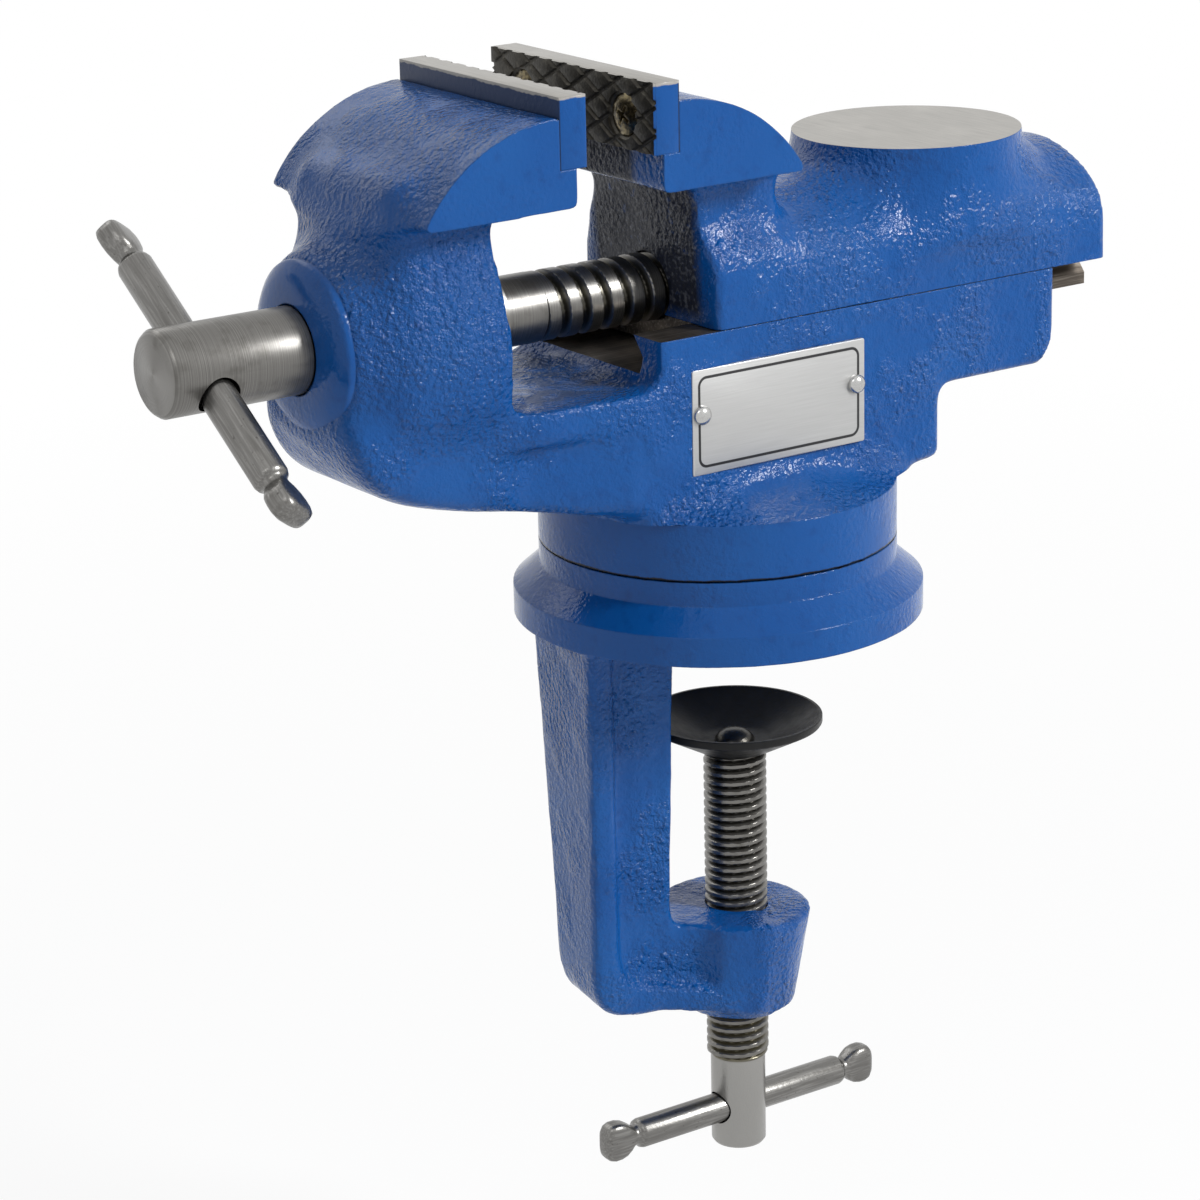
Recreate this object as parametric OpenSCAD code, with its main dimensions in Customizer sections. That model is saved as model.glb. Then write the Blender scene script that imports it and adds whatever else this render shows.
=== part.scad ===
// Hobby vise with a turning base and a bench clamp.
// Origin: swivel axis, on the flat underside of the flange that rests on the bench.
// +X runs along the lead screw from its handle to the anvil, +Z is up.

/* [Jaws] */
// Width of the jaws
jaw_w = 50; // [44:1:60]
// Gap between the two jaw plates as shown
jaw_gap = 13.9; // [8:0.1:20]
// Height of the jaw tops above the bench
jaw_top = 105; // [102:0.5:112]
// Height of a jaw plate
plate_h = 12.5; // [10:0.5:15]
// Thickness of a jaw plate
plate_t = 5.5; // [4:0.5:7]
// Distance from the swivel axis back to the fixed gripping face
grip_setback = 44.8; // [42:0.2:47]
// How far the plates stand above the castings behind them
plate_proud = 3.5; // [2:0.1:4.5]
// Radius of the rounded back of each jaw head
head_r = 31.6; // [29:0.2:33]
// Depth of a jaw head below the jaw tops
head_depth = 19.5; // [17.5:0.5:20]
// How far the casting under a plate stays behind the gripping face
under_plate = 2.1; // [1:0.1:3]
// Distance of the plate screws from the middle of the jaw
plate_screw_y = 15.5; // [12:0.5:18]
// Height of the plate screws above the bottom of their plate
plate_screw_up = 5.7; // [5.2:0.1:6]

/* [Plate screws] */
// Thread diameter of a plate screw
plate_screw_d = 4; // [3.5:0.5:4.5]
// Head diameter of a plate screw
plate_screw_head_d = 8; // [7:0.5:9]
// Length of a plate screw
plate_screw_len = 10; // [8.5:0.5:10.5]

/* [Fixed body] */
// Width of the bed and of the slide on it
body_w = 41; // [38:1:43]
// Height of the bed's top above the bench
bed_top = 58.2; // [57:0.2:59]
// Distance from the fixed gripping face to the front end of the bed
bed_start = 17.9; // [16:0.1:20]
// Length of the bed
bed_len = 91.1; // [86:0.5:98]
// Thickness of the bed where it overhangs at the rear
bed_t = 18.2; // [17:0.2:20]
// Length of the thick part of the bed behind the swivel axis
bed_root = 37; // [34:0.5:42]
// Depth of the throat floor below the bed's top
throat_depth = 8.7; // [8:0.1:9.5]
// How far the throat goes in behind the fixed gripping face
throat_back = 12.4; // [11:0.2:14]
// Radius of the throat's bottom corners
throat_r = 3.5; // [2:0.5:5]
// Width of the neck that carries the jaw head
neck_w = 34; // [30:1:37]
// Thickness of the fixed jaw's neck along the screw
neck_t = 21.1; // [19:0.5:23]
// Distance from the throat to the ring line of the front boss
boss_len = 29.7; // [28:0.5:32]
// Diameter of the front boss at its ring line
boss_d = 30.8; // [28:0.4:33]
// Diameter of the front boss at its end face
boss_face_d = 22; // [20:0.5:24]
// Length of the tapered nose of the front boss
boss_nose = 2.2; // [1.5:0.1:3]
// Step in from the ring line to the boss's nose
ring_step = 0.6; // [0.4:0.1:1]
// Height of the keel under the front boss
keel_front_z = 34.5; // [33:0.5:36]
// Radius of the keel's rounded edges
keel_r = 6; // [4:0.5:8]
// Width of the keel between the front boss and the foot
keel_w = 32; // [28:1:38]
// Distance from the ring line back to the keel's full depth
keel_nose = 10; // [8:0.5:14]

/* [Dovetail way] */
// Width of the dovetail groove at the bed's top
way_w = 24.6; // [22:0.2:26]
// Width of the dovetail groove at its root
way_root_w = 30.4; // [28:0.2:32]
// Depth of the dovetail flanks
way_flank = 3.6; // [3:0.1:4]
// Depth of the groove
way_depth = 6.4; // [6:0.1:7]
// Running gap of the slide in its way
way_gap = 0.2; // [0.15:0.05:0.3]

/* [Sliding jaw] */
// Length of the slide
slide_len = 90.8; // [86:0.5:96]
// Distance from the rear plate's back to the slide's front face
slide_setback = 11.4; // [9:0.2:13]
// Height of the slide's straight sides
slide_side_h = 11.3; // [9:0.2:13]
// Height of the slide's rounded back above its straight sides
slide_arch_h = 9.6; // [8:0.2:11]
// Thickness of the sliding jaw's neck along the screw
slide_neck_t = 17; // [15:0.5:20]
// Threaded length of the slide
nut_len = 28; // [24:1:34]
// Diameter of the clear tunnel behind the threaded length
tunnel_d = 16; // [15:0.5:17]
// Diameter of the anvil's face
anvil_d = 42.7; // [38:0.5:44]
// Height of the anvil's face above the bench
anvil_top = 84.4; // [83:0.2:88]
// Distance from the slide's front face to the anvil's centre
anvil_back = 59; // [56:0.5:62]
// Growth of the anvil's radius down to the slide
anvil_flare = 7; // [5:0.5:8]

/* [Lead screw] */
// Height of the lead screw's axis above the bench
screw_z = 63; // [62.6:0.1:64]
// Diameter of the lead screw
screw_d = 12.7; // [12:0.1:13]
// Lead of its right-hand thread
screw_lead = 4.5; // [4:0.25:5]
// Depth of its thread
screw_thread_depth = 1.2; // [0.8:0.1:1.5]
// Diameter of its head
screw_head_d = 15.4; // [14.5:0.1:18]
// Length of its head
screw_head_len = 27; // [24:0.5:32]
// Distance from the head's end to the handle hole
screw_hole_in = 8.9; // [7.5:0.1:10]
// Plain length between the throat and the thread
screw_plain = 16.5; // [14:0.5:20]
// Threaded length
screw_thread_len = 88; // [80:1:94]
// Diameter of the handle bar
screw_bar_d = 6.4; // [5.6:0.1:6.8]
// Length of the handle bar
screw_bar_len = 70.4; // [62:1:90]
// Angle of the handle bar above level
screw_bar_turn = 33; // [0:1:90]
// How far the handle bar has slid down in its hole
screw_bar_shift = 0.9; // [0:0.1:5]
// Outer diameter of the retaining collar
collar_d = 19; // [17:0.5:20]
// Width of the retaining collar
collar_w = 6; // [5:0.5:8]
// Diameter of the collar's cross pin
collar_pin_d = 2.5; // [2:0.25:3]

/* [Swivel] */
// Diameter of the round foot and the collar under it
foot_d = 66.7; // [62:0.5:70]
// Height of the swivel seam above the bench
seam_z = 14.2; // [13:0.2:16]
// Height of the round foot
foot_h = 10.2; // [9:0.2:12]
// Gap of the swivel seam
seam_gap = 0.3; // [0.3:0.05:0.5]
// Diameter of the locating hub
hub_d = 24; // [20:0.5:28]
// Height of the locating hub
hub_h = 4; // [3:0.5:6]
// Thread diameter of the pivot bolt
pivot_d = 8; // [7:0.5:8]
// Width across the flats of the pivot bolt's head
pivot_flats = 13; // [12:0.5:14]
// Height of the pivot bolt's head
pivot_head_h = 5.3; // [4.5:0.1:6]
// Thickness of the plain washer under the bolt
washer_t = 1.6; // [1.2:0.1:2]
// Thickness of the spring washer under the bolt
spring_washer_t = 2; // [1.6:0.1:2.4]

/* [Clamp bracket] */
// Diameter of the flange that rests on the bench
flange_d = 76.5; // [73:0.5:84]
// Height of the flange's upright rim
flange_rim = 5.4; // [4:0.2:7]
// Height of the cone between the rim and the collar
flange_cone = 4.3; // [3:0.1:5]
// Turn of the bracket under the vise as shown
bracket_turn = -10; // [-45:1:45]
// Distance from the swivel axis to the arm's back
arm_back = 31.5; // [29:0.5:34]
// Depth of the arm from back to front
arm_depth = 17.6; // [15:0.2:20]
// Width of the arm at its top
arm_w = 25; // [21:0.5:28]
// Width of the arm at its bottom
arm_foot_w = 15.5; // [14:0.5:17]
// Opening between the flange and the lower limb
bench_open = 61; // [56:1:66]
// Thickness of the lower limb
limb_t = 15.7; // [13:0.5:18]
// Radius of the arm's bottom corner
arm_corner_r = 8; // [5:0.5:11]
// Width of the raised rib round the arm
rib_w = 5.5; // [4:0.5:7]
// Depth of the web below the rib
web_in = 1.2; // [0.8:0.1:2]
// Diameter of the screw boss at its top
boss_top_d = 28.6; // [26:0.5:32]
// Diameter of the screw boss at its bottom
boss_end_d = 21.9; // [20:0.5:25]
// Height of the screw boss
boss_h = 19.7; // [18:0.5:22]

/* [Clamp screw] */
// Diameter of the clamp screw
clamp_d = 12; // [11:0.5:12.5]
// Pitch of its right-hand thread
clamp_pitch = 1.75; // [1.5:0.05:2]
// Depth of its thread
clamp_thread_depth = 0.9; // [0.6:0.05:1.1]
// Threaded length
clamp_thread_len = 63; // [56:0.5:66]
// Diameter of its plain lower end
clamp_plain_d = 10.6; // [10:0.1:10.8]
// Length of its plain lower end
clamp_plain_len = 18.6; // [16:0.5:22]
// Distance from its lower end to the handle hole
clamp_hole_in = 8.1; // [7:0.1:10]
// Diameter of its handle bar
clamp_bar_d = 5.8; // [5:0.1:6.2]
// Length of its handle bar
clamp_bar_len = 64.7; // [58:1:80]
// Diameter of the clamp pad
pad_d = 33.4; // [30:0.2:38]
// Gap between the pad's rim and the arm
pad_gap = 0.3; // [0.3:0.1:2]
// Height of the clamp pad
pad_h = 6.6; // [6:0.1:8]
// Wall of the clamp pad
pad_wall = 1.4; // [1.2:0.1:1.6]
// Opening between the bench face and the pad as shown
pad_open = 22.6; // [20:0.2:26]
// Diameter of the screw's neck inside the pad
pad_neck_d = 6; // [5:0.5:6.5]

/* [Handle ends] */
// Diameter of a bar's swaged end over the bar's own
end_swell = 1.36; // [1.25:0.01:1.45]
// Length of a swaged end over the bar's diameter
end_length = 1.1; // [1:0.05:1.25]
// Diameter of the groove beside a swaged end over the bar's own
end_neck = 0.78; // [0.7:0.02:0.85]

/* [Nameplate] */
// Length of the nameplate
badge_l = 38.8; // [34:0.2:40]
// Height of the nameplate
badge_h = 19.3; // [16:0.1:20]
// Thickness of the nameplate
badge_t = 0.8; // [0.6:0.1:1]
// Distance from the swivel axis forward to the nameplate's centre
badge_x = 1.4; // [0:0.1:3]
// Height of the nameplate's centre above the bench
badge_z = 42.5; // [41.5:0.1:43]
// Diameter of a rivet's head
rivet_d = 3.6; // [3:0.1:4]
// Distance of a rivet from the end of the nameplate
rivet_in = 2; // [2:0.1:3]
// Height of the rivets above the middle of the nameplate
rivet_up = 1.4; // [0:0.1:4]

/* [Hidden] */
$fn = 96;
hull_fn = 32;
// Running clearance of a shaft, on the radius
shaft_gap = 0.08;
// Running gap between flat faces that turn on each other
face_gap = 0.15;
// Assembly gap between a fastener and its hole, on the radius
fit_gap = 0.03;
// Overlap that makes joined shapes one solid
lap = 0.5;
// Length that carries a cut past the face it opens
past = 1;
// Length of a blind hole past the end of its screw
tap_past = 0.5;
blue = [0.10, 0.28, 0.60];
steel = [0.62, 0.61, 0.58];
dark_steel = [0.30, 0.30, 0.30];

grip_x = -grip_setback;
seat_front = grip_x - plate_t;
rear_grip_x = grip_x + jaw_gap;
seat_rear = rear_grip_x + plate_t;
plate_bottom = jaw_top - plate_h;
head_top = jaw_top - plate_proud;
head_bottom = jaw_top - head_depth;
head_centre_z = head_top - head_r;
throat_x = grip_x - throat_back;
throat_floor = bed_top - throat_depth;
neck_front_x = throat_x - neck_t;
bed_x = grip_x + bed_start;
bed_end_x = bed_x + bed_len;
ring_x = throat_x - boss_len;
boss_face_x = ring_x - boss_nose;
slide_x = seat_rear + slide_setback;
slide_end_x = slide_x + slide_len;
slide_bottom = bed_top + face_gap;
slide_side_top = slide_bottom + slide_side_h;
slide_top = slide_side_top + slide_arch_h;
arch_r = (body_w * body_w / 4 + slide_arch_h * slide_arch_h) / (2 * slide_arch_h);
anvil_x = slide_x + anvil_back;
foot_bottom = seam_z + seam_gap;
foot_top = foot_bottom + foot_h;
head_x = boss_face_x - face_gap;
screw_end_x = throat_x + screw_plain + screw_thread_len;
collar_x = throat_x + face_gap * 2;
screw_hole_x = head_x - screw_head_len + screw_hole_in;
way_floor = bed_top - way_depth;
pivot_seat_z = way_floor - pivot_head_h - washer_t - spring_washer_t - past;
pivot_bore = pivot_d / 2 + shaft_gap;
washer_d = pivot_flats + 3;
hub_top = seam_z + hub_h;
arm_front_x = -arm_back + arm_depth;
clamp_x = arm_front_x + pad_gap + pad_d / 2;
limb_top = -bench_open;
limb_bottom = limb_top - limb_t;
boss_bottom = limb_top - boss_h;
limb_end_d = boss_top_d - (boss_top_d - boss_end_d) * limb_t / boss_h;
inner_fillet = 4;
pad_top = -pad_open;
pad_bottom = pad_top - pad_h;
pad_floor = pad_bottom + pad_wall;
clamp_shoulder = pad_bottom - face_gap;
clamp_thread_end = clamp_shoulder - clamp_thread_len;
clamp_end = clamp_thread_end - clamp_plain_len;
clamp_hole_z = clamp_end + clamp_hole_in;
side_y = -body_w / 2;
badge_x_mid = -badge_x;
rivet_z = badge_z + rivet_up;
rivet_shank_d = rivet_d / 2;
plate_screw_z = plate_bottom + plate_screw_up;

// Points of an arc about (cx, cy) from angle a to angle b
function arc(cx, cy, r, a, b, n = 16) =
    [for (i = [0 : n]) [cx + r * cos(a + (b - a) * i / n), cy + r * sin(a + (b - a) * i / n)]];

// Extrudes an outline drawn in X and Z across the vise
module across(width)
    rotate([90, 0, 0])
        linear_extrude(height = width, center = true)
            children();

// Extrudes an outline drawn in Y and Z along the screw, from x0 to x1
module along(x0, x1)
    translate([x0, 0, 0])
        rotate([90, 0, 90])
            linear_extrude(height = x1 - x0)
                children();

// A round bar along X
module rod_x(x0, x1, d)
    translate([x0, 0, screw_z])
        rotate([0, 90, 0])
            cylinder(d = d, h = x1 - x0);

// Outline of a jaw head behind its plate: the plate seat is at x = 0 and the head grows to -X
module head_outline() {
    tip = asin((head_bottom - head_centre_z) / head_r);
    first_angle = 91;
    under_x = plate_t - under_plate;
    under_r = (plate_bottom - head_bottom) / 2;
    polygon(concat(
        [[0, head_top]],
        arc(0, head_centre_z, head_r, first_angle, 180 - tip),
        arc(under_x - under_r, head_bottom + under_r, under_r, -90, 0, 8),
        [[under_x, plate_bottom], [0, plate_bottom]]));
}

// Holes for the two screws of a plate whose gripping face is at x = 0 and whose back is at -plate_t
module plate_screw_holes(extra)
    for (side = [-1, 1])
        translate([0, side * plate_screw_y, plate_screw_z])
            rotate([0, -90, 0])
                plate_screw_shape(fit_gap, extra);

// A countersunk screw whose head is level with z = 0 and whose shank points to +Z
module plate_screw_shape(gap, extra) {
    sink = (plate_screw_head_d - plate_screw_d) / 2;
    cylinder(d1 = plate_screw_head_d + 2 * gap, d2 = plate_screw_d + 2 * gap, h = sink);
    cylinder(d = plate_screw_d + 2 * gap, h = plate_screw_len + extra);
    if (extra > 0)
        translate([0, 0, -past])
            cylinder(d = plate_screw_head_d + 2 * gap, h = past + gap);
}

module plate_screw(x, facing, side)
    color("darkkhaki")
    translate([x, side * plate_screw_y, plate_screw_z])
    rotate([0, facing * 90, 0])
    difference() {
        slot_w = plate_screw_head_d / 7;
        slot_l = plate_screw_head_d * 0.62;
        slot_depth = plate_screw_head_d / 6;
        slot_turn = 25;
        plate_screw_shape(0, 0);
        for (turn = [slot_turn, slot_turn + 90])
            rotate([0, 0, turn])
                cube([slot_l, slot_w, 2 * slot_depth], center = true);
    }

module jaw_plate(x0)
    translate([x0, -jaw_w / 2, plate_bottom])
        cube([plate_t, jaw_w, plate_h]);

module front_jaw_plate()
    color("dimgray")
    difference() {
        jaw_plate(seat_front);
        translate([grip_x, 0, 0])
            plate_screw_holes(tap_past);
    }

module rear_jaw_plate()
    color("dimgray")
    difference() {
        jaw_plate(rear_grip_x);
        translate([rear_grip_x, 0, 0])
            mirror([1, 0, 0])
                plate_screw_holes(tap_past);
    }

// The fixed casting: jaw head, neck, front boss, keel, bed and round foot
module vise_body()
    color(blue)
    difference() {
        union() {
            translate([seat_front, 0, 0])
                across(jaw_w) head_outline();
            neck_and_barrel();
            translate([boss_face_x, 0, screw_z])
                rotate([0, 90, 0])
                    cylinder(d1 = boss_face_d, d2 = boss_d - 2 * ring_step, h = boss_nose + lap);
            keel();
            across(body_w) bed_outline();
            translate([0, 0, foot_bottom])
                cylinder(d = foot_d, h = foot_h);
            translate([0, 0, foot_top])
                cylinder(d1 = foot_d - foot_h / 2, d2 = body_w, h = foot_h * 0.7);
        }
        throat_cut();
        way_cut();
        rod_x(boss_face_x - past, throat_x + past, screw_d + 2 * shaft_gap);
        pivot_cut();
        translate([grip_x, 0, 0])
            plate_screw_holes(tap_past);
        for (end = [-1, 1])
            translate([badge_x_mid + end * (badge_l / 2 - rivet_in), side_y, rivet_z])
                rotate([-90, 0, 0])
                    cylinder(d = rivet_shank_d + 2 * fit_gap, h = 2 * rivet_d + past, center = true);
    }

// The neck under the fixed head grows out of a barrel round the lead screw
module neck_and_barrel() {
    barrel_x = throat_x - neck_t * 0.8;
    neck_mid_x = throat_x - neck_t / 2;
    hull() {
        rod_x(barrel_x, throat_x, body_w, $fn = hull_fn);
        translate([neck_front_x, -neck_w / 2, head_bottom])
            cube([neck_t, neck_w, 2]);
    }
    hull() {
        rod_x(ring_x, ring_x + lap, boss_d, $fn = hull_fn);
        rod_x(barrel_x, neck_mid_x, body_w, $fn = hull_fn);
    }
}

// The rounded underside between the front boss and the foot
module keel()
    hull() {
        nose_taper = 0.8;
        for (side = [-1, 1]) {
            edge_y = side * (keel_w / 2 - keel_r);
            translate([ring_x + keel_r, edge_y * nose_taper, screw_z - boss_d / 2 + lap])
                sphere(r = keel_r, $fn = hull_fn);
            translate([ring_x + keel_nose, edge_y, keel_front_z + keel_r])
                sphere(r = keel_r, $fn = hull_fn);
            translate([-foot_d / 2, edge_y, foot_top + keel_r])
                sphere(r = keel_r, $fn = hull_fn);
        }
        translate([ring_x + boss_d / 2, -keel_w / 2, throat_floor - 2 * lap])
            cube([throat_x - ring_x, keel_w, lap]);
    }

// Side view of the bed, from the throat wall to the rear overhang
module bed_outline() {
    foot_chord = sqrt(foot_d * foot_d - body_w * body_w) / 2 - lap;
    underside = foot_top + 3.4;
    step_z = bed_top - bed_t;
    barrel_bottom = screw_z - body_w / 2;
    shoulder = 4;
    chamfer = 3;
    polygon([[throat_x - lap, bed_top], [bed_end_x, bed_top],
             [bed_end_x, step_z + chamfer * 1.4], [bed_end_x - chamfer, step_z],
             [bed_root + chamfer / 2, step_z], [bed_root, step_z - chamfer],
             [bed_root, underside + chamfer], [bed_root - chamfer, underside],
             [foot_chord, underside - 2], [foot_chord - chamfer, foot_top - lap],
             [-foot_chord, foot_top - lap], [-foot_d / 2 + lap, foot_top + 2],
             [-foot_d / 2 - shoulder, barrel_bottom], [throat_x - lap, barrel_bottom]]);
}

module throat_cut() {
    rise = head_bottom + past - throat_floor;
    lean = 1.5;
    across(jaw_w + 2 * past)
        polygon(concat(
            arc(throat_x + throat_r, throat_floor + throat_r, throat_r, 180, 270, 8),
            arc(bed_x - throat_r, throat_floor + throat_r, throat_r, 270, 360, 8),
            [[bed_x, bed_top + past], [bed_end_x + past, bed_top + past],
             [bed_end_x + past, jaw_top + past], [seat_front + plate_t - under_plate, jaw_top + past],
             [seat_front + plate_t - under_plate, head_bottom],
             [throat_x + throat_r, head_bottom], [throat_x - lean, throat_floor + rise * 0.85]]));
    translate([bed_x, side_y - past, bed_top])
        cube([bed_len + past, body_w + 2 * past, past]);
}

// Cross section of the dovetail: a groove, or the tongue when gap is positive
module way_section(gap, bottom) {
    top_half = way_w / 2 - gap;
    root_half = way_root_w / 2 - gap;
    polygon([[-top_half, bed_top + past], [top_half, bed_top + past], [top_half, bed_top],
             [root_half, bed_top - way_flank], [root_half, bottom],
             [-root_half, bottom], [-root_half, bed_top - way_flank], [-top_half, bed_top]]);
}

module way_cut()
    along(bed_x - past, bed_end_x + past)
        way_section(0, way_floor);

module pivot_cut() {
    translate([0, 0, foot_bottom - past])
        cylinder(d = hub_d + 2 * shaft_gap, h = hub_h + past + face_gap);
    cylinder(r = pivot_bore, h = bed_top);
    translate([0, 0, pivot_seat_z])
        cylinder(d = washer_d + 2 * lap, h = bed_top - pivot_seat_z);
}

// The sliding casting: jaw head, neck, rounded back, anvil and dovetail tongue
module sliding_jaw()
    color(blue)
    difference() {
        union() {
            translate([seat_rear, 0, 0])
                mirror([1, 0, 0])
                    across(jaw_w) head_outline();
            slide_neck();
            along(slide_x, slide_end_x)
                slide_section();
            anvil();
            along(slide_x, slide_end_x)
                way_section(way_gap, way_floor + face_gap * 4);
        }
        rod_x(slide_x - past, slide_x + nut_len + past, screw_d + 2 * shaft_gap);
        rod_x(slide_x + nut_len, slide_end_x + past, tunnel_d);
        translate([rear_grip_x, 0, 0])
            mirror([1, 0, 0])
                plate_screw_holes(tap_past);
    }

module slide_section() {
    half = asin(body_w / 2 / arch_r);
    polygon(concat(
        [[-body_w / 2, slide_bottom], [body_w / 2, slide_bottom]],
        arc(0, slide_top - arch_r, arch_r, 90 - half, 90 + half, 24)));
}

// The neck leans back into the slide's rounded top behind the head
module slide_neck() {
    lean = 2;
    slab = 1;
    top_t = slide_neck_t - slab;
    root_t = slide_neck_t + slide_arch_h;
    hull() {
        translate([slide_x - lean, -neck_w / 2, head_bottom])
            cube([top_t + lean, neck_w, slab]);
        translate([slide_x, -neck_w / 2, slide_side_top - 2 * slab])
            cube([root_t, neck_w, slab]);
        translate([slide_x, side_y, slide_bottom])
            cube([slide_neck_t, body_w, slide_side_h / 2]);
    }
}

// The anvil flares out in a hollow curve down to the slide
module anvil() {
    land = 1.5;
    face_r = anvil_d / 2;
    drop = anvil_top - land - slide_side_top;
    flare_r = (anvil_flare * anvil_flare + drop * drop) / (2 * anvil_flare);
    reach = face_r + anvil_flare;
    intersection() {
        translate([anvil_x, 0, 0])
            rotate_extrude()
                polygon(concat(
                    [[0, slide_side_top - lap], [reach, slide_side_top - lap]],
                    arc(face_r + flare_r, anvil_top - land, flare_r, 180 + asin(drop / flare_r), 180, 12),
                    [[face_r, anvil_top], [0, anvil_top]]));
        translate([anvil_x - reach, -max(anvil_d, body_w) / 2, slide_bottom])
            cube([2 * reach, max(anvil_d, body_w), anvil_top]);
    }
}

// Ridges of a thread along Z from 0 to len, drawn as closed rings
module ring_thread(d, depth, pitch, len) {
    turns = floor(len / pitch);
    crest = pitch * 0.3;
    root = d / 2 - depth;
    rotate_extrude()
        polygon(concat(
            [[0, 0], [root, 0]],
            [for (i = [0 : turns - 1], p = [0 : 3])
                let (start = i * pitch + (pitch - crest) / 4)
                [p == 1 || p == 2 ? d / 2 : root,
                 p == 0 ? start : p == 1 ? start + pitch * 0.2 : p == 2 ? start + pitch * 0.2 + crest
                 : start + pitch * 0.4 + crest]],
            [[root, len], [0, len]]));
}

module lead_screw()
    color(steel)
    difference() {
        union() {
            rod_x(head_x - screw_head_len + 1, head_x, screw_head_d);
            translate([head_x - screw_head_len, 0, screw_z])
                rotate([0, 90, 0])
                    cylinder(d1 = screw_head_d - 2, d2 = screw_head_d, h = 1);
            rod_x(head_x - lap, throat_x + screw_plain, screw_d);
            translate([throat_x + screw_plain, 0, screw_z])
                rotate([0, 90, 0])
                    ring_thread(screw_d, screw_thread_depth, screw_lead, screw_thread_len);
        }
        translate([screw_hole_x, 0, screw_z])
            rotate([screw_bar_turn, 0, 0])
                rotate([90, 0, 0])
                    cylinder(d = screw_bar_d + 2 * shaft_gap, h = screw_head_d + 2 * past, center = true);
        collar_pin_hole();
    }

module collar_pin_hole()
    translate([collar_x + collar_w / 2, 0, screw_z])
        cylinder(d = collar_pin_d + 2 * fit_gap, h = collar_d + 2 * past, center = true);

// Held on the lead screw behind the fixed neck, so that the screw can't pull out
module retaining_collar()
    color("gray")
    difference() {
        rod_x(collar_x, collar_x + collar_w, collar_d);
        rod_x(collar_x - past, collar_x + collar_w + past, screw_d + 2 * fit_gap);
        collar_pin_hole();
    }

module collar_pin()
    color("silver")
    translate([collar_x + collar_w / 2, 0, screw_z])
        cylinder(d = collar_pin_d, h = collar_d - 1, center = true);

// A handle bar along Y, as thick as the bar and swaged out into a rounded tip at each end
module handle_bar(d, len) {
    swell = d * end_swell;
    tip = d * end_length;
    groove = d * 0.3;
    stem = len - 2 * tip - 2 * groove;
    bulb_d = (swell + sqrt(tip * tip + swell * swell)) / 2;
    rotate([90, 0, 0])
        cylinder(d = d, h = stem, center = true);
    rotate([90, 0, 0])
        cylinder(d = d * end_neck, h = stem + 2 * groove + 2 * lap, center = true);
    for (side = [-1, 1])
        translate([0, side * (len - tip) / 2, 0])
            intersection() {
                cube([d, tip, swell], center = true);
                rotate([90, 0, 0])
                    cylinder(d = swell, h = tip, center = true);
                rotate([0, 90, 0])
                    cylinder(d = bulb_d, h = d, center = true);
            }
}

module lead_screw_bar()
    color(steel)
    translate([screw_hole_x, 0, screw_z])
        rotate([screw_bar_turn, 0, 0])
            translate([0, -screw_bar_shift, 0])
                handle_bar(screw_bar_d, screw_bar_len);

module nameplate()
    color("silver")
    difference() {
        translate([badge_x_mid - badge_l / 2, side_y - badge_t, badge_z - badge_h / 2])
            cube([badge_l, badge_t, badge_h]);
        for (end = [-1, 1])
            translate([badge_x_mid + end * (badge_l / 2 - rivet_in), side_y, rivet_z])
                rotate([90, 0, 0])
                    cylinder(d = rivet_shank_d + 2 * fit_gap, h = 2 * badge_t + past, center = true);
    }

module nameplate_rivet(end)
    color("silver")
    translate([badge_x_mid + end * (badge_l / 2 - rivet_in), side_y - badge_t, rivet_z])
        rotate([90, 0, 0]) {
            dome_r = rivet_d * 0.65;
            dome_sink = rivet_d * 0.35;
            translate([0, 0, -rivet_d - badge_t])
                cylinder(d = rivet_shank_d, h = rivet_d + badge_t + lap / 2);
            intersection() {
                cylinder(d = rivet_d, h = rivet_d / 2);
                translate([0, 0, -dome_sink])
                    sphere(r = dome_r);
            }
        }

// The C-shaped casting: round flange with its collar and hub, arm, limb and screw boss
module clamp_bracket()
    color(blue)
    difference() {
        union() {
            cylinder(d = flange_d, h = flange_rim);
            translate([0, 0, flange_rim])
                cylinder(d1 = flange_d, d2 = foot_d, h = flange_cone);
            translate([0, 0, flange_rim + flange_cone - lap])
                cylinder(d = foot_d, h = seam_z - flange_rim - flange_cone + lap);
            cylinder(d = hub_d, h = hub_top);
            rotate([0, 0, bracket_turn])
                arm_and_limb();
        }
        translate([0, 0, flange_rim / 2])
            cylinder(d = pivot_d + 2 * fit_gap, h = hub_top);
        rotate([0, 0, bracket_turn])
            translate([clamp_x, 0, boss_bottom - past])
                cylinder(d = clamp_d + 2 * shaft_gap, h = boss_h + 2 * past);
    }

module arm_and_limb()
    difference() {
        union() {
            hull() {
                translate([-arm_back, -arm_w / 2, flange_rim - lap])
                    cube([arm_depth, arm_w, lap]);
                across(arm_foot_w)
                    polygon(concat(
                        arc(-arm_back + arm_corner_r, limb_bottom + arm_corner_r, arm_corner_r, 180, 270, 8),
                        [[arm_front_x, limb_bottom], [arm_front_x, limb_top]]));
            }
            hull() {
                translate([arm_front_x - rib_w, -arm_foot_w / 2, limb_bottom])
                    cube([rib_w, arm_foot_w, limb_t]);
                translate([clamp_x, 0, limb_bottom])
                    cylinder(d1 = limb_end_d, d2 = boss_top_d, h = limb_t, $fn = hull_fn);
            }
            across(arm_foot_w)
                polygon([[arm_front_x - lap, limb_top - lap], [arm_front_x + inner_fillet, limb_top - lap],
                         [arm_front_x + inner_fillet, limb_top], [arm_front_x, limb_top + inner_fillet],
                         [arm_front_x - lap, limb_top + inner_fillet]]);
            translate([clamp_x, 0, boss_bottom])
                cylinder(d1 = boss_end_d, d2 = boss_top_d, h = boss_h);
        }
        for (side = [-1, 1])
            web_cut(side);
    }

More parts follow.
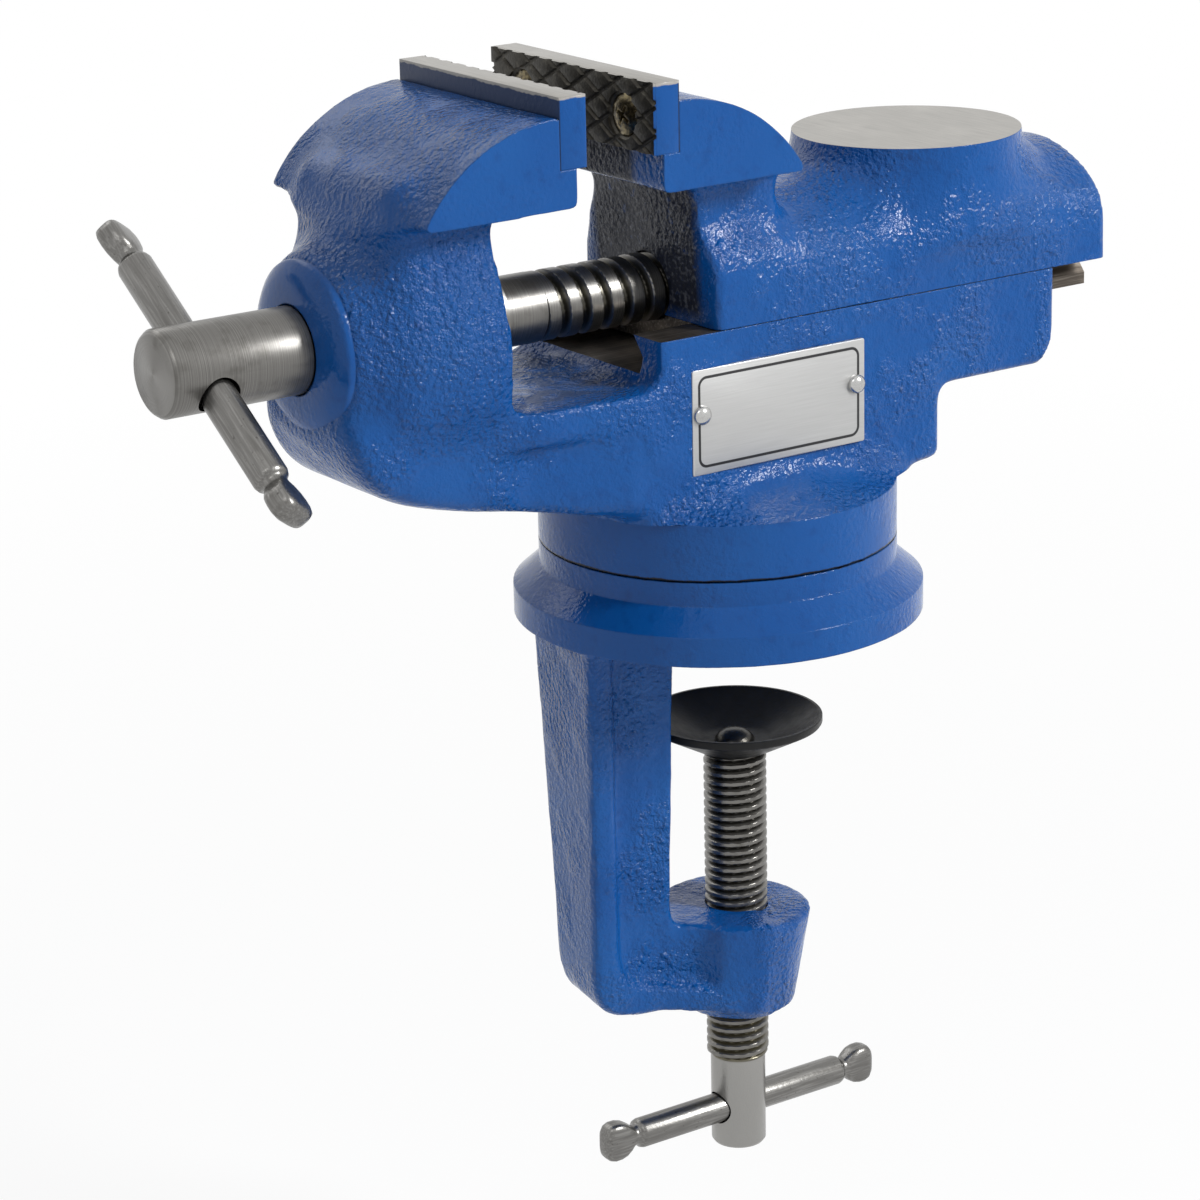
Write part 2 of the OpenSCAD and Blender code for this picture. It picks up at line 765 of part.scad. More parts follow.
// The web between the ribs lies a little below them, on both sides
module web_cut(side) {
    half_top = arm_w / 2 - web_in;
    half_foot = arm_foot_w / 2 - web_in;
    lean = atan((arm_w - arm_foot_w) / 2 / (flange_rim - limb_bottom));
    web_x = -arm_back + rib_w;
    web_z = limb_bottom + rib_w;
    boss_reach = boss_end_d / 2 + 1;
    translate([0, side * (half_top + half_foot) / 2, (flange_rim + limb_bottom) / 2])
        rotate([-side * lean, 0, 0])
            translate([0, side * arm_w / 2, -(flange_rim + limb_bottom) / 2])
                across(arm_w)
                    polygon(concat(
                        arc(web_x + rib_w, web_z + rib_w, rib_w, 180, 270, 8),
                        [[clamp_x - boss_reach, web_z], [clamp_x - boss_reach, limb_top + past],
                         [arm_front_x + past, limb_top + past], [arm_front_x + past, -past],
                         [web_x, -past]]));
}

module pivot_bolt()
    color("gray") {
        head_z = pivot_seat_z + washer_t + spring_washer_t + face_gap;
        translate([0, 0, head_z])
            cylinder(d = pivot_flats / cos(30), h = pivot_head_h, $fn = 6);
        translate([0, 0, flange_rim / 2 + past])
            cylinder(d = pivot_d, h = head_z - flange_rim / 2 - past + lap);
    }

module pivot_washer()
    color("silver")
    difference() {
        translate([0, 0, pivot_seat_z + face_gap])
            cylinder(d = washer_d, h = washer_t);
        cylinder(d = pivot_d + 2 * shaft_gap, h = bed_top);
    }

module pivot_spring_washer()
    color("silver")
    difference() {
        split = 0.8;
        translate([0, 0, pivot_seat_z + face_gap + washer_t])
            cylinder(d = pivot_flats, h = spring_washer_t);
        cylinder(d = pivot_d + 2 * shaft_gap, h = bed_top);
        translate([0, -split / 2, pivot_seat_z])
            cube([pivot_flats, split, bed_top]);
    }

// A dished pad that turns on the neck of the clamp screw
module clamp_pad()
    color([0.08, 0.08, 0.09])
    rotate([0, 0, bracket_turn])
        translate([clamp_x, 0, pad_bottom])
            rotate_extrude() {
                hole_r = pad_neck_d / 2 + shaft_gap;
                floor_r = clamp_d / 2;
                rim_w = 0.8;
                rim_h = 1.3;
                polygon([[hole_r, 0], [floor_r + pad_wall, 0], [pad_d / 2, pad_h - rim_h],
                         [pad_d / 2, pad_h], [pad_d / 2 - rim_w, pad_h],
                         [floor_r + 0.5, pad_wall], [hole_r, pad_wall]]);
            }

module clamp_screw()
    color(dark_steel)
    rotate([0, 0, bracket_turn])
        translate([clamp_x, 0, 0])
            difference() {
                dome_r = pad_neck_d / 2 + 0.9;
                dome_z = pad_floor + face_gap;
                union() {
                    translate([0, 0, clamp_thread_end])
                        ring_thread(clamp_d, clamp_thread_depth, clamp_pitch, clamp_thread_len);
                    translate([0, 0, clamp_end])
                        cylinder(d = clamp_plain_d, h = clamp_plain_len);
                    translate([0, 0, clamp_shoulder - lap])
                        cylinder(d = pad_neck_d, h = dome_z - clamp_shoulder + 2 * lap);
                    intersection() {
                        translate([0, 0, dome_z - dome_r / 2])
                            sphere(r = dome_r * 1.12);
                        translate([0, 0, dome_z])
                            cylinder(r = dome_r, h = dome_r);
                    }
                }
                translate([0, 0, clamp_hole_z])
                    rotate([0, 90, -bracket_turn])
                        cylinder(d = clamp_bar_d + 2 * shaft_gap, h = 2 * clamp_d, center = true);
            }

module clamp_screw_bar()
    color(steel)
    rotate([0, 0, bracket_turn])
        translate([clamp_x, 0, clamp_hole_z])
            rotate([0, 0, 90 - bracket_turn])
                handle_bar(clamp_bar_d, clamp_bar_len);

clamp_bracket();
pivot_bolt();
pivot_spring_washer();
pivot_washer();
vise_body();
front_jaw_plate();
plate_screw(grip_x, -1, -1);  // front_plate_screw_near
plate_screw(grip_x, -1, 1);  // front_plate_screw_far
nameplate();
nameplate_rivet(-1);  // nameplate_rivet_front
nameplate_rivet(1);  // nameplate_rivet_rear
sliding_jaw();
rear_jaw_plate();
plate_screw(rear_grip_x, 1, -1);  // rear_plate_screw_near
plate_screw(rear_grip_x, 1, 1);  // rear_plate_screw_far
lead_screw();
retaining_collar();
collar_pin();
lead_screw_bar();
clamp_pad();
clamp_screw();
clamp_screw_bar();
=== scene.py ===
# %% [markdown]
# A small bench vise, dressed over its packed construction model.
#
# The construction model gives every piece its place and size. This notebook adds what a
# camera sees: rough castings under glossy blue enamel, machined faces, turned and rolled
# steel, and real threads. It starts by loading the model and noting its overall box.

# %% Load the construction model
import math

import bmesh
import bpy
from mathutils import Matrix, Vector


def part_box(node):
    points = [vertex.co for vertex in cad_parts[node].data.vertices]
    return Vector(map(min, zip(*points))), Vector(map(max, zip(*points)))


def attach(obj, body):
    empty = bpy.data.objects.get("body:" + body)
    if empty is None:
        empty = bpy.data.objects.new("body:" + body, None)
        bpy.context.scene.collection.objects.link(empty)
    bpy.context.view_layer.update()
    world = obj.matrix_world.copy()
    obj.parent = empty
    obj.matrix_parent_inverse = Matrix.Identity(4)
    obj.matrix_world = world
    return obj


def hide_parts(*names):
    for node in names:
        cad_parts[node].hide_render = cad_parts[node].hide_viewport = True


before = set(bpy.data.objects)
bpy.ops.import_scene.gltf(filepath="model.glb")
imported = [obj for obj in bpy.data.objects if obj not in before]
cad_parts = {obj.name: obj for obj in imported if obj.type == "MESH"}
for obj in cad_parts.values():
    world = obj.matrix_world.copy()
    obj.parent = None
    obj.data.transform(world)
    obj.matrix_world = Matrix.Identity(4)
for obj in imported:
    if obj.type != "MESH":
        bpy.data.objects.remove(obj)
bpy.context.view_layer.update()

# %% [markdown]
# Drawings of tools are in millimetres and Blender works in metres, so the sizes of the vise
# are written in millimetres and multiplied by MM once. Only the camera, the floor and the
# lamps are placed in metres. What the boxes of the construction model's pieces show is read
# from them, and the rest, such as the shape of the way, is typed to match it.

# %% Main sizes, in millimetres
MM = 0.001


def box_mm(node):
    """Lowest and highest corner of a piece of the construction model, in millimetres."""
    low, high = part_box(node)
    return low / MM, high / MM


body_low = box_mm("vise_body")[0]
slide_high = box_mm("sliding_jaw")[1]
bracket_high = box_mm("clamp_bracket")[1]
front_plate_low, front_plate_high = box_mm("front_jaw_plate")
rear_plate_low, rear_plate_high = box_mm("rear_jaw_plate")
screw_low, screw_high = box_mm("lead_screw")
collar_low, collar_high = box_mm("retaining_collar")
pad_low, pad_high = box_mm("clamp_pad")
clamp_low, clamp_high = box_mm("clamp_screw")
badge_low, badge_high = box_mm("nameplate")

COLLAR_GAP = 0.3
screw_z = (collar_low.z + collar_high.z) / 2
throat_x = collar_low.x - COLLAR_GAP
jaw_half = front_plate_high.y
jaw_top = front_plate_high.z
plate_bottom = front_plate_low.z
seat_front = front_plate_low.x
seat_rear = rear_plate_high.x
body_half = 20.5
bed_top = 58.2
bed_x = -26.9
bed_end_x = 64.2
foot_r = 33.35
foot_z = body_low.z
flange_r = bracket_high.y
slide_x = -14.0
slide_end_x = slide_high.x
way_half = 12.3
way_root_half = 15.2
way_flank = 3.6
way_floor = 51.8
bore_r = 6.43
print("screw axis at z", round(screw_z, 2), "jaw top", round(jaw_top, 2), "foot radius", round(foot_r, 2))

# %% [markdown]
# The camera stands where the photographer's stood: a long lens, a little above the vise,
# looking along the near side from the handle's end. The position and the lens were worked
# out from the straight and round edges of the vise itself.

# %% Camera
CAMERA_PLACE = Vector((-0.41475, -0.56307, 0.22442))
LOOK = Vector((0.54035, 0.78441, -0.3045)).normalized()
ROLL = math.radians(-1.2507)
LENS = 117.58
SENSOR = 36


def link_new(name, data):
    """A new object for a mesh, a lamp or a camera, in the scene's own collection."""
    piece = bpy.data.objects.new(name, data)
    bpy.context.scene.collection.objects.link(piece)
    return piece


level = LOOK.cross(Vector((0, 0, 1))).normalized()
steep = level.cross(LOOK)
camera_right = level * math.cos(ROLL) + steep * math.sin(ROLL)
camera_up = steep * math.cos(ROLL) - level * math.sin(ROLL)
camera_data = bpy.data.cameras.new("camera")
camera_data.lens = LENS
camera_data.sensor_width = SENSOR
camera_data.clip_start = 0.01
camera = link_new("camera", camera_data)
camera.matrix_world = Matrix.Translation(CAMERA_PLACE) @ Matrix(
    (camera_right, camera_up, -LOOK)).transposed().to_4x4()
bpy.context.scene.camera = camera
print("camera distance", round(CAMERA_PLACE.length, 3), "m, lens", LENS, "mm")

# %% [markdown]
# Materials and shapes below are sums of many small node values. Writing those sums as
# nodes is long-winded, so Number adds the Math nodes: `a + b` of two Numbers makes an Add
# node and gives its output back. `add_node` makes any other node with its inputs filled in.
# The floor, the materials, the castings and the threads are all written with the two.

# %% Numbers inside a node tree
def feed(tree, value, socket):
    """Links a Number or a node's output to a socket, or sets a plain value on it."""
    if isinstance(value, Number):
        value = value.socket
    if isinstance(value, bpy.types.NodeSocket):
        tree.links.new(value, socket)
    else:
        socket.default_value = value


def add_node(tree, kind, inputs=None, **settings):
    """A new node; its settings come first, since some of them change its inputs."""
    node = tree.nodes.new(kind)
    for name, value in settings.items():
        setattr(node, name, value)
    for place, value in (inputs or {}).items():
        feed(tree, value, node.inputs[place])
    return node


class Number:
    """One number inside a node tree; arithmetic on it adds Math nodes."""

    def __init__(self, tree, socket):
        self.tree = tree
        self.socket = socket

    def math(self, operation, *others):
        """The output of a Math node that reads this number and the others."""
        inputs = dict(enumerate((self, *others)))
        node = add_node(self.tree, "ShaderNodeMath", inputs, operation=operation)
        return Number(self.tree, node.outputs[0])

    def __add__(self, other):
        return self.math("ADD", other)

    def __sub__(self, other):
        return self.math("SUBTRACT", other)

    def __rsub__(self, other):
        return (self * -1) + other

    def __mul__(self, other):
        return self.math("MULTIPLY", other)

    def __truediv__(self, other):
        return self.math("DIVIDE", other)

    def __neg__(self):
        return self * -1

    def __abs__(self):
        return self.math("ABSOLUTE")

    def root(self):
        return self.math("SQRT")

    def at_least(self, other):
        return self.math("MAXIMUM", other)

    def at_most(self, other):
        return self.math("MINIMUM", other)

    def ramp(self, start, end):
        """Rises from 0 at start to 1 at end, and stays level outside."""
        return ((self - start) / (end - start)).at_least(0).at_most(1)

    def joined(self, other, fillet):
        """The union of two fields, with a hollow fillet where they meet."""
        return self.math("SMOOTH_MIN", other, fillet)

    def within(self, other, rounding):
        """The part of this field inside another, with the new edge rounded."""
        return self.math("SMOOTH_MAX", other, rounding)

    def without(self, other, rounding):
        """This field with another taken away, with the new edge rounded."""
        return self.math("SMOOTH_MAX", -other, rounding)


def parts_of(tree, vector):
    """The X, Y and Z of a vector, as Numbers."""
    return [Number(tree, part) for part in add_node(tree, "ShaderNodeSeparateXYZ", {0: vector}).outputs]


def combined(tree, *parts):
    """A vector made of Numbers; the parts left out are 0."""
    return add_node(tree, "ShaderNodeCombineXYZ", dict(enumerate(parts))).outputs[0]


def cloud(tree, inputs, **settings):
    """The value of a noise texture, from 0 to 1."""
    return Number(tree, add_node(tree, "ShaderNodeTexNoise", inputs, **settings).outputs[0])


def from_line(a, b, place=(0.0, 0.0)):
    """Distance from a line; a and b are the two coordinates across it."""
    return ((a - place[0]) * (a - place[0]) + (b - place[1]) * (b - place[1])).root()


print("a Number adds Math nodes to its tree")

# %% [markdown]
# The vise stands in front of plain white. The floor fades into that white: near the vise a
# small share of it is really lit, which keeps the soft shadow, and further out it is white.
# It lies below the clamp screw's lowest position.

# %% Floor and world
FLOOR_Z = -0.146
FLOOR_HALF = 4.0
FLOOR_COLOUR = (0.88, 0.88, 0.88, 1)
SHADOW_SHARE = 0.10
SHADOW_NEAR = 0.25
SHADOW_FAR = 0.75
SKY_COLOUR = (0.80, 0.82, 0.85, 1)
SKY_STRENGTH = 0.45
CORNERS = ((-1, -1), (1, -1), (1, 1), (-1, 1))


def white_to_camera(tree, surface, share):
    """Mixes a surface with plain white for camera, glossy and transmission rays."""
    rays = add_node(tree, "ShaderNodeLightPath")
    seen = Number(tree, rays.outputs["Is Camera Ray"])
    for ray in ("Is Glossy Ray", "Is Transmission Ray"):
        seen = seen.at_least(Number(tree, rays.outputs[ray]))
    white = add_node(tree, "ShaderNodeEmission", {"Color": (1, 1, 1, 1), "Strength": 1.0})
    inputs = {0: seen * share, 1: surface, 2: white.outputs[0]}
    return add_node(tree, "ShaderNodeMixShader", inputs).outputs[0]


floor_mesh = bpy.data.meshes.new("floor")
floor_mesh.from_pydata([(x * FLOOR_HALF, y * FLOOR_HALF, FLOOR_Z) for x, y in CORNERS], [], [(0, 1, 2, 3)])
floor = link_new("floor", floor_mesh)
floor_look = bpy.data.materials.new("pale floor")
floor_look.use_nodes = True
floor_mesh.materials.append(floor_look)
floor_tree = floor_look.node_tree
floor_shader = floor_tree.nodes["Principled BSDF"]
floor_shader.inputs["Base Color"].default_value = FLOOR_COLOUR
floor_shader.inputs["Roughness"].default_value = 0.9
floor_place = add_node(floor_tree, "ShaderNodeTexCoord").outputs["Object"]
from_middle = from_line(*parts_of(floor_tree, floor_place)[:2])
lit = from_middle.ramp(SHADOW_FAR, SHADOW_NEAR) * SHADOW_SHARE
feed(floor_tree, white_to_camera(floor_tree, floor_shader.outputs[0], lit * -1 + 1),
     floor_tree.nodes["Material Output"].inputs["Surface"])

world = bpy.data.worlds.new("studio")
bpy.context.scene.world = world
world.use_nodes = True
world_tree = world.node_tree
background = world_tree.nodes["Background"]
background.inputs["Color"].default_value = SKY_COLOUR
background.inputs["Strength"].default_value = SKY_STRENGTH
feed(world_tree, white_to_camera(world_tree, background.outputs[0], 1.0),
     world_tree.nodes["World Output"].inputs["Surface"])
print("floor at", FLOOR_Z, "m, lit share", SHADOW_SHARE)

# %% [markdown]
# Polished bars show a narrow bright band where the lamp lies opposite the camera, and rough
# enamel breaks the same lamp into many small glints. So the key lamp is small and stands to
# the right of the camera, above it. The fill on the left and the rim lamp behind are wider
# and much weaker.

# %% Lamps
LAMP_AIM = Vector((0, 0, 0.02))


def soft_lamp(name, place, size, power):
    """A rectangular area lamp that looks at the vise."""
    data = bpy.data.lights.new(name, "AREA")
    data.shape = "RECTANGLE"
    data.size, data.size_y = size
    data.energy = power
    lamp = link_new(name, data)
    lamp.location = place
    lamp.rotation_euler = (LAMP_AIM - Vector(place)).to_track_quat("-Z", "Y").to_euler()


soft_lamp("key", (0.575, -0.87, 0.66), (0.22, 0.34), 13.0)
soft_lamp("fill", (-0.75, -0.55, 0.85), (0.45, 0.45), 1.3)
soft_lamp("rim", (-0.2, 0.9, 0.8), (0.8, 0.4), 1.6)
bpy.context.scene.view_settings.view_transform = "Standard"

# %% [markdown]
# A finished metal surface is layers: a base colour, stains and scratches over it, and fine
# relief. A Look is one material built that way. Its textures read the Object coordinates and
# take sizes in millimetres, so the grain keeps its real size on every piece and rides with it.

# %% A material made of layers
ALONG_X = (0.03, 1, 1)
ALONG_Y = (1, 0.04, 1)


class Look:
    """One procedural material; each method adds a layer to its colour, roughness or relief."""

    def __init__(self, name, colour, roughness, metallic=0.0, specular=0.5):
        self.material = bpy.data.materials.new(name)
        self.material.use_nodes = True
        self.tree = self.material.node_tree
        self.shader = self.tree.nodes["Principled BSDF"]
        self.bump = add_node(self.tree, "ShaderNodeBump", {"Distance": MM, "Strength": 1.0})
        self.colour = (*colour, 1)
        self.roughness = roughness
        self.height = None
        for place, value in (("Metallic", metallic), ("Specular IOR Level", specular),
                             ("Base Color", self.colour), ("Roughness", roughness),
                             ("Normal", self.bump.outputs[0])):
            self.show(place, value)
        coordinates = add_node(self.tree, "ShaderNodeTexCoord")
        self.place = coordinates.outputs["Object"]
        self.x, self.y, self.z = (part * (1 / MM) for part in parts_of(self.tree, self.place))
        self.facing_x, _, self.facing_z = parts_of(self.tree, coordinates.outputs["Normal"])

    def show(self, place, value):
        """Feeds one input of the shader."""
        feed(self.tree, value, self.shader.inputs[place])

    def noise(self, size, detail, stretch=None):
        """Cloudy noise with blots of about that size, in millimetres, squeezed by stretch."""
        place = self.place
        if stretch:
            inputs = {0: place, 1: stretch}
            place = add_node(self.tree, "ShaderNodeVectorMath", inputs, operation="MULTIPLY").outputs[0]
        return cloud(self.tree, {"Vector": place, "Scale": 1 / (size * MM), "Detail": detail})

    def along(self, axis, size, detail):
        """Noise drawn out twentyfold along an axis, like the streaks of a drawn bar."""
        axis = Vector(axis)
        reach = add_node(self.tree, "ShaderNodeVectorMath", {0: self.place, 1: axis}, operation="DOT_PRODUCT")
        inputs = {0: reach.outputs["Value"], 1: axis * -0.95, 2: self.place}
        back = add_node(self.tree, "ShaderNodeVectorMath", inputs, operation="MULTIPLY_ADD")
        return cloud(self.tree, {"Vector": back.outputs[0], "Scale": 1 / (size * MM), "Detail": detail})

    def cells(self, size):
        """Distance to the nearest of many scattered points, in units of their spacing."""
        inputs = {"Vector": self.place, "Scale": 1 / (size * MM)}
        return Number(self.tree, add_node(self.tree, "ShaderNodeTexVoronoi", inputs).outputs["Distance"])

    def lines(self, value, size, detail):
        """Fine lines that follow equal steps of a value, such as a radius."""
        return cloud(self.tree, {"W": value, "Scale": 1 / size, "Detail": detail}, noise_dimensions="1D")

    def tint(self, amount, colour):
        """Mixes another colour in where amount is 1."""
        inputs = {0: amount, 6: self.colour, 7: (*colour, 1)}
        self.colour = add_node(self.tree, "ShaderNodeMix", inputs, data_type="RGBA").outputs[2]
        self.show("Base Color", self.colour)

    def stain(self, colour, size, detail, start, end, share=1.0, stretch=None):
        """Mixes a share of another colour in where a noise rises from start to end."""
        self.tint(self.noise(size, detail, stretch).ramp(start, end) * share, colour)

    def gloss(self, amount, roughness):
        """Mixes another roughness in where amount is 1."""
        self.roughness = (amount * -1 + 1) * self.roughness + amount * roughness
        self.show("Roughness", self.roughness)

    def relief(self, height):
        """Adds relief, in millimetres."""
        self.height = height if self.height is None else self.height + height
        feed(self.tree, self.height, self.bump.inputs["Height"])

    def grain(self, size, depth, detail=2.0, stretch=None):
        """Adds relief from a noise of one size and depth, in millimetres."""
        self.relief(self.noise(size, detail, stretch) * depth)

    def round_edges(self, radius):
        """Shades sharp edges as if they were rounded by a radius in millimetres."""
        bevel = add_node(self.tree, "ShaderNodeBevel", {"Radius": radius * MM}, samples=4)
        feed(self.tree, bevel.outputs[0], self.bump.inputs["Normal"])


print("materials read Object coordinates in steps of", MM, "m")

# %% [markdown]
# The castings wear a thick glossy blue enamel. Under it the sand-cast skin is rough, so the
# gloss breaks into many small glints, and on some faces the paint is thin and dark. Relief
# comes in three kinds: grains of a millimetre, finer ones of half that, and small pits. The
# relief is stronger in rough patches, where a slow noise is high. Edges are shaded a little
# rounded, as wet paint leaves them. On the thin dark paint of the sliding neck's front, glints
# are painted in as light grey specks, and the jaw plates' backs and seams get painted shade.

# %% Blue enamel
BLUE = (0.0030, 0.069, 0.270)
DEEP_BLUE = (0.002, 0.034, 0.155)
PALE_BLUE = (0.0065, 0.088, 0.312)
THIN_PAINT = (0.020, 0.024, 0.038)
# Light grey of the glints painted on the sliding neck's thin paint.
PAINTED_GLINTS = (0.130, 0.135, 0.150)
DEEP_SHADE = (0.002, 0.020, 0.075)
SEAM_DARK = (0.004, 0.006, 0.012)
BARE_STEEL = (0.360, 0.345, 0.320)
GLOSSY = 0.12
SATIN = 0.24
DULL = 0.4
GRAIN_DEPTH = 0.85
FINE_DEPTH = 0.2
PIT_DEPTH = 0.3
PAINT_EDGE = 0.4


def enamel(name, relief=1.0, wear_or_shade=None, wear_or_shade_colour=THIN_PAINT, coarse_where=None, pale=0.6):
    """Blue enamel over a casting; the third argument marks thin or bare paint, or painted shade, from 0 to 1.
    """
    look = Look(name, BLUE, GLOSSY, specular=0.23)
    patch = look.noise(13, 2.0).ramp(0.42, 0.62)
    if coarse_where:
        patch = patch.at_least(coarse_where(look))
    look.stain(PALE_BLUE, 22, 1.0, 0.35, 0.75, pale)
    look.stain(DEEP_BLUE, 2.6, 3.0, 0.55, 0.8, 0.4)
    look.gloss(look.noise(6, 2.0).ramp(0.4, 0.7), SATIN)
    coarse = (patch * 0.75 + 0.25) * relief
    look.relief(look.noise(1.0, 2.0) * coarse * GRAIN_DEPTH)
    look.relief(look.noise(0.45, 1.0) * coarse * FINE_DEPTH)
    look.relief(look.cells(1.5).ramp(0.45, 0.0) * patch * (PIT_DEPTH * relief))
    look.round_edges(PAINT_EDGE)
    # Darkens the colour by that mask: real thin paint on the castings, painted shade on the jaw plates.
    if wear_or_shade:
        amount = wear_or_shade(look)
        look.tint(amount, wear_or_shade_colour)
        look.gloss(amount, DULL)
    return look


def thin_on_front(look):
    """The front face of the sliding neck, where the paint is thin and dark."""
    middle = abs(look.y).ramp(17, 14.5) * look.z.ramp(58, 61) * look.x.ramp(6, 2)
    patchy = look.noise(2.5, 2.0).ramp(0.15, 0.35)
    return look.facing_x.ramp(-0.45, -0.8) * look.z.ramp(94, 92) * middle * patchy


def coarse_barrel(look):
    """Round the barrel and the neck's foot the sand was coarsest."""
    return look.x.ramp(-52, -58) * look.z.ramp(52, 60) * look.z.ramp(88, 80)


def thin_in_throat(look):
    """The floor of the throat, where the paint is thin and dark in patches."""
    patches = look.noise(3.5, 3.0).ramp(0.62, 0.42) * abs(look.y).ramp(19, 13)
    return patches * look.facing_z.ramp(0.4, 0.8) * look.z.ramp(54, 51) * look.x.ramp(-27, -31) * 0.55


def bare_at_top(look):
    """A ragged line where grinding the jaw tops took the paint off the plates' ends."""
    ragged = (look.noise(2.4, 3.0) - 0.5) * 0.9
    return (look.z + ragged).ramp(jaw_top - 0.6, jaw_top - 0.4)


def painted_shade_behind_plate(look):
    """Painted shade: the plates' backs darker low down, in the jaw's shade, and a dark line along their
    seams.
    """
    seam = abs(look.x - seat_front).at_most(abs(look.x - seat_rear)).ramp(0.32, 0.15)
    return seam.at_least(look.facing_x.ramp(-0.6, -0.9) * look.z.ramp(jaw_top - 0.6, jaw_top - 2.2) * 0.75)


body_enamel = enamel("body enamel", 1.0, thin_in_throat, coarse_where=coarse_barrel)
slide_enamel = enamel("slide enamel", 0.85, thin_on_front)
# Painted glints: light grey specks over the thin dark paint on the sliding neck's front.
slide_enamel.tint(thin_on_front(slide_enamel) * slide_enamel.noise(0.9, 2.0).ramp(0.52, 0.68), PAINTED_GLINTS)
bracket_enamel = enamel("bracket enamel", 1.15, pale=1.0)
turned_enamel = enamel("turned enamel", 0.2)
# A ragged dark line along the seam where the foot stands on the bracket.
ragged_seam = abs(turned_enamel.z - foot_z + (turned_enamel.noise(3.5, 3.0) - 0.5) * 0.8)
turned_enamel.tint(ragged_seam.ramp(0.36, 0.16), SEAM_DARK)
# The plate enamel gets painted shade on its back and along its seams.
plate_enamel = enamel("plate enamel", 0.12, painted_shade_behind_plate, DEEP_SHADE)
plate_enamel.tint(bare_at_top(plate_enamel), BARE_STEEL)
print("enamels", [m.name for m in bpy.data.materials if "enamel" in m.name])

# %% [markdown]
# The metals differ in how they were worked. The ways were planed and are brown with old oil,
# the anvil and the tops of the jaw plates were ground bright, the gripping faces are dark
# hardened steel, and the bores are dark. The plate screws are yellow plated and the pivot
# bolt is zinc plated. Planing and grinding leave lines, so their noise is drawn out.

# %% Planed, ground and plated metals
planed = Look("planed ways", (0.085, 0.072, 0.060), 0.42, metallic=0.85)
planed.stain((0.20, 0.17, 0.14), 5, 3.0, 0.45, 0.75)
planed.stain((0.34, 0.31, 0.27), 0.5, 2.0, 0.5, 0.72, 0.6, ALONG_X)
planed.grain(0.35, 0.05, stretch=ALONG_X)

ground = Look("ground steel", (0.40, 0.385, 0.355), 0.36, metallic=0.9)
ground.stain((0.27, 0.26, 0.24), 0.35, 3.0, 0.35, 0.75, 0.7, ALONG_Y)
ground.stain((0.52, 0.50, 0.46), 9, 2.0, 0.5, 0.8, 0.35)
ground.grain(0.3, 0.03, stretch=ALONG_Y)

gripping = Look("gripping steel", (0.040, 0.037, 0.031), 0.42, metallic=0.8)
gripping.stain((0.085, 0.079, 0.066), 1.4, 3.0, 0.5, 0.75)
gripping.grain(0.5, 0.06)

bored = Look("bored iron", (0.035, 0.034, 0.034), 0.5, metallic=0.7)
bored.grain(0.4, 0.05)

brassy = Look("yellow plated", (0.20, 0.165, 0.095), 0.26, metallic=0.95)
brassy.stain((0.075, 0.062, 0.040), 0.9, 3.0, 0.40, 0.6)
brassy.grain(0.5, 0.03)

plated = Look("zinc plated", (0.42, 0.42, 0.41), 0.36, metallic=0.9)
plated.stain((0.28, 0.28, 0.27), 2, 3.0, 0.4, 0.8, 0.5)
plated.grain(0.6, 0.03)
print("metals", [look.material.name for look in (planed, ground, gripping, bored, brassy, plated)])

# %% [markdown]
# The lead screw was turned, so fine rings run round it and over its end. The bars are drawn
# and streaked along their length. The clamp screw's thread is rolled, with roots darker than
# its crests, and the pad is blacked.

# %% Turned, drawn and rolled steels
BAR_ANGLE = math.radians(33)
THREAD_START = throat_x + 16.5

turned_steel = Look("turned steel", (0.145, 0.141, 0.133), 0.33, metallic=0.95)
screw_radius = from_line(turned_steel.y, turned_steel.z, (0.0, screw_z))
tool_lines = turned_steel.lines(turned_steel.x, 0.22, 3.0)
end_lines = turned_steel.lines(screw_radius, 0.35, 2.0)
on_end = turned_steel.facing_x.ramp(-0.7, -0.9)
painted_sheen_angle = (turned_steel.z - screw_z).math("ARCTAN2", turned_steel.y)
turned_steel.tint(tool_lines.ramp(0.35, 0.75) * 0.6, (0.29, 0.282, 0.267))
turned_steel.stain((0.075, 0.07, 0.062), 3, 4.0, 0.5, 0.75, 0.5)
# Painted sheen: the end face is painted lighter, most in two opposite sectors round the axis.
turned_steel.tint(on_end * ((painted_sheen_angle * 2 + 0.9).math("SINE") * 0.35 + 0.4), (0.26, 0.255, 0.245))
turned_steel.tint(screw_radius.ramp(6.1, 5.5) * turned_steel.x.ramp(THREAD_START - 1, THREAD_START),
                  (0.070, 0.066, 0.055))
turned_steel.relief(tool_lines * (on_end * -1 + 1) * 0.012)
turned_steel.relief(end_lines * on_end * 0.03)


def drawn_bar(name, axis):
    """Drawn bar steel, with streaks along its own axis."""
    look = Look(name, (0.175, 0.171, 0.163), 0.30, metallic=0.95)
    streaks = look.along(axis, 0.35, 3.0)
    look.tint(streaks.ramp(0.45, 0.7) * 0.5, (0.34, 0.333, 0.32))
    look.tint(look.along(axis, 0.9, 2.0).ramp(0.5, 0.7) * 0.4, (0.085, 0.08, 0.073))
    look.stain((0.05, 0.045, 0.04), 0.7, 2.0, 0.66, 0.76, 0.6)
    look.relief(streaks * 0.02)
    look.grain(0.8, 0.03)
    return look


upper_drawn = drawn_bar("upper bar steel", (0, math.cos(BAR_ANGLE), math.sin(BAR_ANGLE)))
lower_drawn = drawn_bar("lower bar steel", (1, 0, 0))

